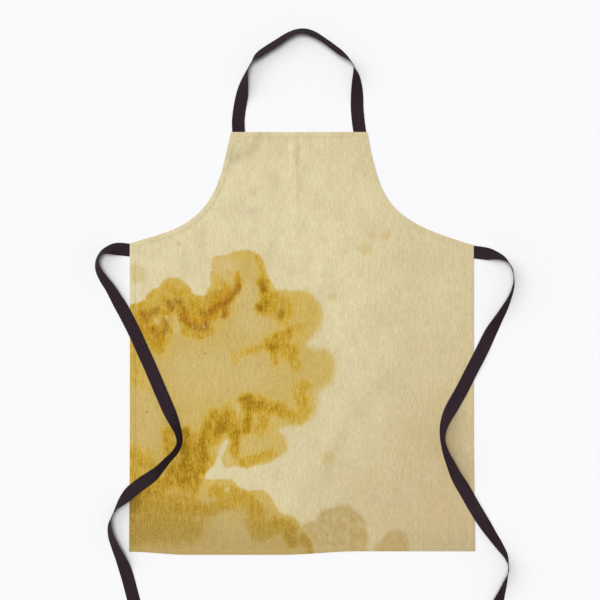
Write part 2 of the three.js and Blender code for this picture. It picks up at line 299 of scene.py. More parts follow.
def make_piece(
    name: str,
    points: np.ndarray,
    faces: np.ndarray,
    material: bpy.types.Material,
    uv: np.ndarray | None = None,
    fields: dict[str, np.ndarray] | None = None,
    laid: bool = True,
) -> bpy.types.Object:
    """Puts a worked-out surface into a smooth-shaded mesh object at the origin.

    Args:
        name: The piece's name.
        points: Its vertices, n by 3.
        faces: Its quads, m by 4, with their corners anticlockwise from outside.
        material: Its finish.
        uv: Cloth coordinates of each vertex, n by 2, in metres.
        fields: Named numbers for each vertex, which its finish reads.
        laid: Whether it is part of the apron, and so lies the way that the apron does.

    Returns:
        The new object.
    """
    if laid:
        points = LIE.settle(points)
    mesh = bpy.data.meshes.new(name)
    mesh.vertices.add(len(points))
    mesh.vertices.foreach_set("co", np.ascontiguousarray(points, np.float32).ravel())
    corners = np.ascontiguousarray(faces, np.int32).ravel()
    mesh.loops.add(len(corners))
    mesh.loops.foreach_set("vertex_index", corners)
    mesh.polygons.add(len(faces))
    mesh.polygons.foreach_set("loop_start", np.arange(0, len(corners), 4, dtype=np.int32))
    mesh.polygons.foreach_set("use_smooth", np.ones(len(faces), bool))
    if uv is not None:
        layer = mesh.uv_layers.new(name="cloth")
        layer.data.foreach_set("uv", np.ascontiguousarray(uv[corners], np.float32).ravel())
    for key, values in (fields or {}).items():
        attribute = mesh.attributes.new(key, "FLOAT", "POINT")
        attribute.data.foreach_set("value", np.ascontiguousarray(values, np.float32).ravel())
    mesh.update(calc_edges=True)
    mesh.validate()
    mesh.materials.append(material)
    piece = bpy.data.objects.new(name, mesh)
    bpy.context.scene.collection.objects.link(piece)
    log.info("%s: %d faces", name, len(mesh.polygons))
    return piece


def grid_quads(rows: int, columns: int, start: int = 0) -> np.ndarray:
    """Quads of an open grid, facing the way of row direction x column direction.

    Args:
        rows: How many rows of vertices there are.
        columns: How many vertices a row has.
        start: Number of the first vertex.

    Returns:
        The quads, m by 4.
    """
    index = start + np.arange(rows * columns).reshape(rows, columns)
    quads = (index[:-1, :-1], index[:-1, 1:], index[1:, 1:], index[1:, :-1])
    return np.stack(quads, axis=-1).reshape(-1, 4)


def tube_quads(rings: int, sides: int) -> np.ndarray:
    """Quads of a closed profile carried along a path, with both ends closed.

    The profile has an even number of corners, anticlockwise as seen against the path's direction,
    and each end is closed with a ladder of quads from the profile's first corner to its opposite.

    Args:
        rings: How many profiles there are along the path.
        sides: How many corners a profile has.

    Returns:
        The quads, m by 4.
    """
    index = np.arange(rings * sides).reshape(rings, sides)
    following = np.roll(index, -1, axis=1)
    wall = np.stack((index[:-1], following[:-1], following[1:], index[1:]), axis=-1).reshape(-1, 4)
    step = np.arange(sides // 2 - 1)
    rungs = np.stack((step, sides - 1 - step, sides - 2 - step, step + 1), axis=-1)
    far = rungs[:, ::-1] + (rings - 1) * sides
    return np.concatenate((wall, rungs, far))


Surface = tuple[np.ndarray, np.ndarray, np.ndarray]


def merge(parts: list[Surface]) -> Surface:
    """Joins surfaces into one.

    Args:
        parts: The surfaces, each as points, quads and cloth coordinates.

    Returns:
        One surface, with its quads renumbered.
    """
    starts = np.cumsum([0] + [len(part[0]) for part in parts[:-1]])
    return (
        np.concatenate([part[0] for part in parts]),
        np.concatenate([part[1] + start for part, start in zip(parts, starts)]),
        np.concatenate([part[2] for part in parts]),
    )


# ---- Finishes ----

def linear(code: str) -> tuple[float, float, float, float]:
    """The scene-linear colour of a six-figure colour code."""
    shares = [int(code[i : i + 2], 16) / 255 for i in (0, 2, 4)]
    red, green, blue = [s / 12.92 if s <= 0.04045 else ((s + 0.055) / 1.055) ** 2.4 for s in shares]
    return red, green, blue, 1.0


class Amount:
    """A number that varies over a surface; arithmetic on it adds Math nodes."""

    def __init__(self, shader: "Shader", socket: bpy.types.NodeSocket) -> None:
        """Wraps a shader's output socket."""
        self.shader = shader
        self.socket = socket

    def _math(self, operation: str, *values: Any) -> "Amount":
        """One Math node on this shader."""
        return self.shader.node("ShaderNodeMath", {"operation": operation}, dict(enumerate(values)))

    def __add__(self, other: Any) -> "Amount":
        """Sum."""
        return self._math("ADD", self, other)

    __radd__ = __add__

    def __sub__(self, other: Any) -> "Amount":
        """Difference."""
        return self._math("SUBTRACT", self, other)

    def __rsub__(self, other: Any) -> "Amount":
        """Difference from a plain number."""
        return self._math("SUBTRACT", other, self)

    def __mul__(self, other: Any) -> "Amount":
        """Product."""
        return self._math("MULTIPLY", self, other)

    __rmul__ = __mul__

    def __abs__(self) -> "Amount":
        """Size without its sign."""
        return self._math("ABSOLUTE", self)

    def sine(self) -> "Amount":
        """Sine of an angle in radians."""
        return self._math("SINE", self)

    def below(self, other: Any) -> "Amount":
        """The smaller of two."""
        return self._math("MINIMUM", self, other)

    def rise(self, low: float, high: float) -> "Amount":
        """Goes smoothly from 0 where this is low to 1 where it is high.

        Args:
            low: Where the step starts.
            high: Where it ends.

        Returns:
            The step.
        """
        return self.shader.node(
            "ShaderNodeMapRange",
            {"interpolation_type": "SMOOTHSTEP"},
            {"Value": self, "From Min": low, "From Max": high},
        )


class Shader:
    """A material that is being written: one method adds any node, and the rest are shorthands."""

    def __init__(self, name: str) -> None:
        """Starts an empty material with its output and surface shader.

        Args:
            name: The material's name.
        """
        self.material = bpy.data.materials.new(name)
        self.material.use_nodes = True
        self.tree = self.material.node_tree
        self.tree.nodes.clear()
        self.output = self.tree.nodes.new("ShaderNodeOutputMaterial")
        self.surface = self.tree.nodes.new("ShaderNodeBsdfPrincipled")
        self.tree.links.new(self.surface.outputs["BSDF"], self.output.inputs["Surface"])

    def node(self, kind: str, settings: dict[str, Any], values: dict[Any, Any], output: Any = 0) -> Amount:
        """Adds a node.

        Args:
            kind: Its type.
            settings: Its own choices, set first.
            values: A number, a colour or an Amount for each socket, by name or place.
            output: The name or place of the socket to read.

        Returns:
            What the node gives.
        """
        made = self.tree.nodes.new(kind)
        for key, value in settings.items():
            setattr(made, key, value)
        for key, value in values.items():
            self.feed(made.inputs[key], value)
        return Amount(self, made.outputs[output])

    def feed(self, socket: bpy.types.NodeSocket, value: Any) -> None:
        """Links an Amount to a socket, or sets a plain value on it.

        Args:
            socket: The input to set.
            value: An Amount, a number or a colour.
        """
        if isinstance(value, Amount):
            self.tree.links.new(value.socket, socket)
        else:
            socket.default_value = value

    def cloth(self) -> Amount:
        """The piece's cloth coordinates, in metres across and along."""
        return self.node("ShaderNodeUVMap", {"uv_map": "cloth"}, {})

    def axis(self, vector: Amount, which: int) -> Amount:
        """One coordinate of a vector."""
        return self.node("ShaderNodeSeparateXYZ", {}, {0: vector}, which)

    def stretched(self, vector: Amount, across: float, along: float) -> Amount:
        """Coordinates counted in patches of the given size, in metres."""
        return self.node(
            "ShaderNodeMapping", {}, {"Vector": vector, "Scale": (1 / across, 1 / along, 1 / across)}
        )

    def noise(self, vector: Amount, detail: float = 2.0, roughness: float = 0.5) -> Amount:
        """Cloudy noise from 0 to 1, one patch to each unit of the vector."""
        values = {"Vector": vector, "Scale": 1.0, "Detail": detail, "Roughness": roughness}
        return self.node("ShaderNodeTexNoise", {}, values)

    def field(self, name: str) -> Amount:
        """A number that the piece's mesh carries."""
        return self.node("ShaderNodeAttribute", {"attribute_name": name}, {}, "Fac")

    def mix(self, share: Any, a: Any, b: Any, blend: str = "MIX") -> Amount:
        """A colour between two, or one colour laid over another with a blend."""
        settings = {"data_type": "RGBA", "blend_type": blend}
        return self.node("ShaderNodeMix", settings, {0: share, 6: a, 7: b}, 2)

    def bump(self, height: Amount, depth: float) -> Amount:
        """A surface normal from a height, with its depth in metres."""
        return self.node("ShaderNodeBump", {}, {"Height": height, "Distance": depth, "Strength": 1.0})

    def finish(self, **sockets: Any) -> bpy.types.Material:
        """Sets the surface's sockets by name, with _ for a space, and gives the material."""
        for key, value in sockets.items():
            self.feed(self.surface.inputs[key.replace("_", " ")], value)
        return self.material


@dataclass(frozen=True)
class CanvasFinish:
    """Unbleached plain-weave canvas that has been washed and cooked on.

    Attributes:
        name: The material's name.
        thread_pitch: From one thread of the weave to the next.
        light: Colour of the cleanest cloth.
        warm: Colour where it has yellowed.
        grey: Colour of its duller patches.
        shade_and_grey_tint: Colour of painted shade in the bib's dent and crease, and of a grey tint by the
            bottom hem.
        stained: Whether the mesh carries the stain's fields.
    """

    name: str
    thread_pitch: float = 0.9 * MM
    light: str = "ece2bc"
    warm: str = "d5c197"
    grey: str = "d6cba9"
    shade_and_grey_tint: str = "b4ab84"
    stained: bool = False

    def weave(self, shader: Shader, cloth: Amount) -> Amount:
        """Height of the weave, sin(2 pi u / pitch) sin(2 pi v / pitch), from -1 to 1.

        Args:
            shader: The material being written.
            cloth: Its cloth coordinates.

        Returns:
            The height.
        """
        turns = 2 * np.pi / self.thread_pitch
        wander = shader.noise(shader.stretched(cloth, 9 * MM, 9 * MM), detail=1.0) * 1.4
        across = (shader.axis(cloth, 0) * turns + wander).sine()
        along = (shader.axis(cloth, 1) * turns + wander).sine()
        return across * along

    def slubs(self, shader: Shader, cloth: Amount) -> Amount:
        """Uneven threads: fine noise drawn out mostly along the warp, and less along the weft.

        Args:
            shader: The material being written.
            cloth: Its cloth coordinates.

        Returns:
            The unevenness, from 0 to 1.
        """
        warp = shader.noise(shader.stretched(cloth, 1.5 * MM, 14 * MM), detail=3.0, roughness=0.65)
        broad = shader.noise(shader.stretched(cloth, 5 * MM, 60 * MM), detail=2.0)
        weft = shader.noise(shader.stretched(cloth, 10 * MM, 1.3 * MM), detail=3.0, roughness=0.65)
        return warp * 0.55 + broad * 0.15 + weft * 0.3

    def make(self) -> bpy.types.Material:
        """Builds the material: yellowed patches, uneven threads, the stain, painted shade in the creases and
        the weave's hollows, and the weave as bump.
        """
        shader = Shader(self.name)
        cloth = shader.cloth()
        slubs = self.slubs(shader, cloth)
        weave = self.weave(shader, cloth)
        patches = shader.noise(shader.stretched(cloth, 120 * MM, 150 * MM), detail=4.0, roughness=0.6)
        blotches = shader.noise(shader.stretched(cloth, 38 * MM, 60 * MM), detail=3.0, roughness=0.6)
        yellowed = shader.field("yellowed") if self.stained else patches
        aged = (yellowed + patches * 0.6 - 0.3).rise(0.0, 1.0)
        colour = shader.mix(aged, linear(self.light), linear(self.warm))
        colour = shader.mix(blotches.rise(0.4, 0.75) * 0.5, colour, linear(self.grey))
        depth = 0.0
        if self.stained:
            # Painted shade: the bib's dent and middle crease darkened towards a grey olive; the same field
            # greys the right of the bottom hem.
            colour = shader.mix(shader.field("soiled"), colour, linear(self.shade_and_grey_tint))
            colour, depth = Stain().lay(shader, cloth, colour)
        threads = slubs.rise(0.34, 0.66)
        shade = shader.mix(threads, linear("ddd5c0"), linear("ffffff"))
        colour = shader.mix(0.75, colour, shade, "MULTIPLY")
        husks = shader.noise(shader.stretched(cloth, 1.5 * MM, 8 * MM), detail=1.0).rise(0.7, 0.8)
        colour = shader.mix(husks * 0.4, colour, linear("8d7a4c"))
        # Painted shade: the hollows of the weave, where it is lowest, are darker.
        gaps = shader.mix(weave.rise(-1.0, 0.4), linear("e6e0d2"), linear("ffffff"))
        colour = shader.mix(0.6, colour, gaps, "MULTIPLY")
        height = weave * 0.35 + slubs * 1.2
        return shader.finish(
            Base_Color=colour,
            Roughness=0.93 - depth * 0.12,
            Normal=shader.bump(height, 0.12 * MM),
            Specular_IOR_Level=0.12,
        )


@dataclass(frozen=True)
class Grain:
    """The noise that makes a stain uneven, each kind from -0.5 to 0.5.

    Attributes:
        slow: Soft patches as wide as a thumb.
        quick: Grains about as large as a few threads.
        combed: Grains drawn out along the warp.
        fine: Finer grains drawn out along the warp.
        mottled: Rough patches.
        threads: The combed and fine grains with some along the weft, from about -1.5 to 1.5.
    """

    slow: Amount
    quick: Amount
    combed: Amount
    fine: Amount
    mottled: Amount
    threads: Amount

    @staticmethod
    def of(shader: Shader, cloth: Amount) -> "Grain":
        """Adds the noise to a material.

        Args:
            shader: The material being written.
            cloth: Its cloth coordinates.

        Returns:
            The noise.
        """

        def grains(across: float, along: float, detail: float, roughness: float) -> Amount:
            """Noise of one size, in millimetres across and along the warp."""
            where = shader.stretched(cloth, across * MM, along * MM)
            return shader.noise(where, detail, roughness) - 0.5

        combed = grains(3, 26, 3.0, 0.65)
        fine = grains(1.5, 6, 2.0, 0.6)
        level = grains(8, 1.6, 2.0, 0.6)
        return Grain(
            slow=grains(20, 24, 2.0, 0.5),
            quick=grains(4, 6, 3.0, 0.65),
            combed=combed,
            fine=fine,
            mottled=grains(12, 18, 4.0, 0.65),
            threads=combed * 1.2 + fine * 1.1 + level * 0.6,
        )


@dataclass(frozen=True)
class Stain:
    """Amber stain that spread in clouds, each with a darker line where it dried last.

    Attributes:
        wash: Colour of the body of a cloud.
        gold: Colour of the band inside its edge.
        amber: Colour where it is strong.
        deep: Colour where it is strongest.
        rust: Colour beside the lines where it dried.
        tide: Colour of the lines where it dried.
        dull: Colour near the bottom hem, where it is older.
        patch: Colour of the patches along the bottom hem.
        aged: Colour that the strong parts turn near the bottom hem.
        fleck: Colour of the small specks.
    """

    wash: str = "d5ba6a"
    gold: str = "e4c35a"
    amber: str = "cea62c"
    deep: str = "a87e12"
    rust: str = "cc9018"
    tide: str = "8c5206"
    dull: str = "c3a96a"
    patch: str = "bfa566"
    aged: str = "a48c52"
    fleck: str = "6a4c18"

    def inside(self, shader: Shader, cloud: Amount) -> Amount:
        """1 inside the large stain and 0 outside, with an edge that is crisp or blurred.

        Args:
            shader: The material being written.
            cloud: Distance into the large stain.

        Returns:
            The share.
        """
        crisp = cloud.rise(-3 * MM, 3.5 * MM)
        blurred = cloud.rise(-13 * MM, 11 * MM)
        return crisp + (blurred - crisp) * shader.field("soft_edge")

    def washes(self, shader: Shader, grain: Grain, cloud: Amount, inside: Amount, colour: Amount) -> Amount:
        """Lays the halo, the thin body of the large stain, and the warmer band along its edge.

        Args:
            shader: The material being written.
            grain: Its noise.
            cloud: Distance into the large stain.
            inside: 1 inside it.
            colour: The colour so far.

        Returns:
            The colour with the washes on it.
        """
        soft, low = shader.field("soft_edge"), shader.field("low_edge")
        pale = shader.field("pale") + grain.mottled * 0.5
        colour = shader.mix(cloud.rise(-34 * MM, 2 * MM) * 0.08, colour, linear(self.wash))
        body = shader.mix(low, linear(self.wash), linear(self.dull))
        weight = 0.92 + grain.mottled * 0.3 + grain.fine * 0.3 - pale.rise(0.15, 0.9) * 0.4
        colour = shader.mix(inside * weight, colour, body)
        band = inside * (1 - cloud.rise(5 * MM, 30 * MM)) * (0.36 - soft * 0.22 - low * 0.3)
        return shader.mix(band * (0.9 + grain.mottled * 0.8 + grain.fine), colour, linear(self.gold))

    def strength(self, shader: Shader, grain: Grain) -> Amount:
        """How strong the strokes are at each place, from below 0 to about 1.5.

        Args:
            shader: The material being written.
            grain: Its noise.

        Returns:
            The strength.
        """
        pale = shader.field("pale") + grain.mottled * 0.5
        uneven = 1.0 + grain.mottled * 1.7 + grain.slow * 0.8 + grain.threads
        return shader.field("amber") * uneven - pale.rise(0.45, 1.1) * 0.4

    def strokes(self, shader: Shader, grain: Grain, inside: Amount, strong: Amount, colour: Amount) -> Amount:
        """Lays the strong strokes, from gold through amber to deep, and the reddish ones over them.

        Args:
            shader: The material being written.
            grain: Its noise.
            inside: 1 inside the large stain.
            strong: How strong the strokes are.
            colour: The colour so far.

        Returns:
            The colour with the strokes on it.
        """
        colour = shader.mix(inside * strong.rise(0.05, 0.5) * 0.5, colour, linear(self.gold))
        colour = shader.mix(inside * strong.rise(0.2, 0.9) * 0.95, colour, linear(self.amber))
        colour = shader.mix(inside * strong.rise(0.75, 1.4) * 0.95, colour, linear(self.deep))
        rusty = shader.field("rust") * (1.0 + grain.mottled * 1.6 + grain.threads * 1.2 + grain.quick)
        colour = shader.mix(inside * rusty.rise(0.2, 1.1) * 0.85, colour, linear(self.rust))
        old = inside * shader.field("low_edge") * strong.rise(0.0, 0.5) * 0.62
        return shader.mix(old, colour, linear(self.aged))

    def dried_lines(self, shader: Shader, grain: Grain) -> Amount:
        """Strength of the ragged lines where the stain dried, which crackle along their length.

        Args:
            shader: The material being written.
            grain: Its noise.

        Returns:
            The strength, from 0 to about 0.75.
        """
        ragged = grain.quick * (5 * MM) + grain.slow * (8 * MM) + grain.combed * (9 * MM)
        lines = shader.field("tide_edge") + ragged
        crackle = (grain.mottled * 1.2 + grain.quick + grain.combed + 0.5).rise(0.25, 0.75)
        return (1 - abs(lines).rise(1 * MM, 11 * MM)) * (0.3 + crackle * 0.45)

    def along_threads(
        self, shader: Shader, grain: Grain, inside: Amount, strong: Amount, colour: Amount
    ) -> Amount:
        """Lays darker and lighter threads over the large stain, more of both where it is strong.

        Args:
            shader: The material being written.
            grain: Its noise.
            inside: 1 inside the large stain.
            strong: How strong the strokes are.
            colour: The colour so far.

        Returns:
            The colour with the threads on it.
        """
        threads = grain.threads
        soaked = strong.rise(0.1, 0.9) * 0.4
        dark_threads = threads.rise(-0.05, 0.45) * (0.3 + soaked)
        light_threads = (threads * -1.0).rise(0.0, 0.45) * (0.34 + soaked)
        colour = shader.mix(inside * dark_threads, colour, linear(self.deep))
        return shader.mix(inside * light_threads, colour, linear(self.gold))

    def marks(self, shader: Shader, grain: Grain, inside: Amount, colour: Amount) -> Amount:
        """Lays what is apart from the large stain: patches by the bottom hem, faint rounds and specks.

        Args:
            shader: The material being written.
            grain: Its noise.
            inside: 1 inside the large stain.
            colour: The colour so far.

        Returns:
            The colour with the marks on it.
        """
        slow, quick = grain.slow, grain.quick
        patch = (shader.field("patch_edge") + slow * (9 * MM) + quick * (6 * MM)).rise(-6 * MM, 8 * MM)
        weight = 0.7 + grain.mottled * 1.3 + grain.fine * 0.5
        colour = shader.mix(patch * (1 - inside) * weight, colour, linear(self.patch))
        faint = (shader.field("faint_edge") + slow * (8 * MM) + quick * (6 * MM)).rise(-5 * MM, 6 * MM)
        colour = shader.mix(faint * 0.4, colour, linear(self.wash))
        flecks = shader.field("fleck_depth") + quick * 0.6
        return shader.mix(flecks.rise(0.4, 0.8) * 0.7, colour, linear(self.fleck))

    def lay(self, shader: Shader, cloth: Amount, colour: Amount) -> tuple[Amount, Amount]:
        """Lays the whole stain over the cloth's colour.

        Args:
            shader: The material being written.
            cloth: Its cloth coordinates.
            colour: The clean cloth's colour.

        Returns:
            The stained colour, and how deep the stain is, from 0 to 1.
        """
        grain = Grain.of(shader, cloth)
        cloud = shader.field("cloud_edge") + grain.slow * (7 * MM) + grain.quick * (7 * MM)
        inside = self.inside(shader, cloud)
        colour = self.washes(shader, grain, cloud, inside, colour)
        strong = self.strength(shader, grain)
        colour = self.strokes(shader, grain, inside, strong, colour)
        tide = self.dried_lines(shader, grain)
        colour = shader.mix(inside * tide, colour, linear(self.tide))
        uneven = (grain.mottled + 0.5).rise(0.34, 0.66)
        crisp = 1 - shader.field("soft_edge")
        rim = (1 - abs(cloud - 1.5 * MM).rise(0.0, 4 * MM)) * crisp * uneven * 0.2
        colour = shader.mix(rim, colour, linear(self.amber))
        colour = self.along_threads(shader, grain, inside, strong, colour)
        colour = self.marks(shader, grain, inside, colour)
        return colour, (inside * 0.4 + tide).below(1.0)


@dataclass(frozen=True)
class TapeFinish:
    """Dark cotton twill tape with a herringbone weave and firm edges.

    Attributes:
        name: The material's name.
        pitch: From one line of the twill to the next.
        rib: Width of each stripe of the herringbone.
        dark: Colour of the hollows of the twill, painted shade.
        light: Colour of the raised threads as painted light, and of worn patches and edges.
    """

    name: str = "tape"
    pitch: float = 1.3 * MM
    rib: float = TAPE_WIDTH / 4
    dark: str = "261b20"
    light: str = "413239"

    def make(self) -> bpy.types.Material:
        """Builds the material: twill lines that turn at each stripe, painted light and shade on its raised
        threads and hollows, wear and dust.
        """
        shader = Shader(self.name)
        cloth = shader.cloth()
        across, along = shader.axis(cloth, 0), shader.axis(cloth, 1)
        stripe = abs(shader.node("ShaderNodeMath", {"operation": "PINGPONG"}, {0: across, 1: self.rib}))
        wander = shader.noise(shader.stretched(cloth, 6 * MM, 14 * MM), detail=1.0) * 1.2
        twill = ((stripe + along) * (2 * np.pi / self.pitch) + wander).sine()
        warp = (across * (2 * np.pi / (0.55 * MM))).sine()
        worn = shader.noise(shader.stretched(cloth, 10 * MM, 45 * MM), detail=3.0, roughness=0.6)
        fine = shader.noise(shader.stretched(cloth, 0.8 * MM, 2.4 * MM), detail=2.0)
        edge = abs(across).rise(TAPE_WIDTH / 2 - 1.6 * MM, TAPE_WIDTH / 2)
        height = twill * 0.35 + warp * 0.12 + fine * 0.5
        # Painted light and shade: the tone follows the weave's height, raised threads lighter and hollows
        # darker, with wear and lighter worn edges.
        tone = (height + worn * 0.8 - 0.35).rise(-0.3, 1.1) * 0.75 + edge * 0.2
        colour = shader.mix(tone, linear(self.dark), linear(self.light))
        colour = shader.mix(worn.rise(0.6, 0.85) * 0.2, colour, linear("4b3c40"))
        return shader.finish(
            Base_Color=colour,
            Roughness=0.86 + worn * 0.1,
            Normal=shader.bump(height, 0.16 * MM),
            Specular_IOR_Level=0.12,
        )


@dataclass(frozen=True)
class ThreadFinish:
    """Twisted sewing thread."""

    name: str
    dark: str
    light: str

    def make(self) -> bpy.types.Material:
        """Builds the material: two plies that wind round each other, painted darker in the grooves between
        them, and uneven dye.
        """
        shader = Shader(self.name)
        cloth = shader.cloth()
        turn = (shader.axis(cloth, 0) * 2 + shader.axis(cloth, 1) * (2 * np.pi / (0.9 * MM))).sine()
        dye = shader.noise(shader.stretched(cloth, 4 * MM, 30 * MM), detail=2.0)
        # Painted shade: the grooves of the twist are darker, over the uneven dye.
        colour = shader.mix((turn * 0.3 + dye).rise(0.1, 0.9), linear(self.dark), linear(self.light))
        return shader.finish(
            Base_Color=colour,
            Roughness=0.72 + dye * 0.1,
            Normal=shader.bump(turn, 0.06 * MM),
            Specular_IOR_Level=0.35,
            Sheen_Weight=0.1,
        )


# ---- The panel ----

@dataclass(frozen=True)
class Outline:
    """The finished edge of the panel, the same on the left as on the right.

    Attributes:
        leaves: The armhole's first handle, from the bib's corner.
        arrives: Its last handle, from the corner at the waist.
    """

    leaves: tuple[float, float] = (28 * MM, -147 * MM)
    arrives: tuple[float, float] = (-160 * MM, 48 * MM)

    def armhole(self, share: np.ndarray) -> tuple[np.ndarray, np.ndarray]:
        """Places on the right armhole, a cubic Bezier from the bib's corner to the waist.

        Args:
            share: The curve's parameter, from 0 to 1.

        Returns:
            The places, and the directions into the cloth at right angles to the edge, each n by 2.
        """
        a = np.array((BIB_X, TOP_Y))
        d = np.array((SIDE_X, WAIST_Y))
        b, c = a + self.leaves, d + self.arrives
        t = np.asarray(share, float)[:, None]
        s = 1 - t
        place = s**3 * a + 3 * s * s * t * b + 3 * s * t * t * c + t**3 * d
        along = s * s * (b - a) + 2 * s * t * (c - b) + t * t * (d - c)
        along /= np.linalg.norm(along, axis=1, keepdims=True)
        return place, np.stack((along[:, 1], -along[:, 0]), axis=-1)

    def half_width(self, y: np.ndarray, inset: float) -> np.ndarray:
        """Half the width of the cloth at each y, after its edge is moved in by a distance.

        Args:
            y: Where to measure.
            inset: How far the edge is moved in.

        Returns:
            The half widths.
        """
        place, inward = self.armhole(np.linspace(0, 1, 400))
        line = place + inward * inset
        above = line[0] + (line[0] - line[1]) / np.linalg.norm(line[0] - line[1]) * 0.05
        line = np.concatenate((above[None], line))[::-1]
        return np.minimum(SIDE_X - inset, np.interp(y, line[:, 1], line[:, 0]))

    def armhole_rows(self, step: float, below_top: float) -> np.ndarray:
        """The y of places evenly spaced along the armhole, from the waist to near the top.

        Args:
            step: Distance between two places.
            below_top: How far under the top they end.

        Returns:
            The y of each, upwards.
        """
        place, _ = self.armhole(np.linspace(1, 0, 900))
        run = run_along(place)
        last = np.interp(TOP_Y - below_top, place[:, 1], run)
        return np.interp(np.linspace(0, last, int(last / step)), run, place[:, 1])

    def area(self) -> float:
        """Area of the finished panel, in square metres."""
        y = np.linspace(BOTTOM_Y, TOP_Y, 4000)
        return float(2 * np.mean(self.half_width(y, 0.0)) * (TOP_Y - BOTTOM_Y))


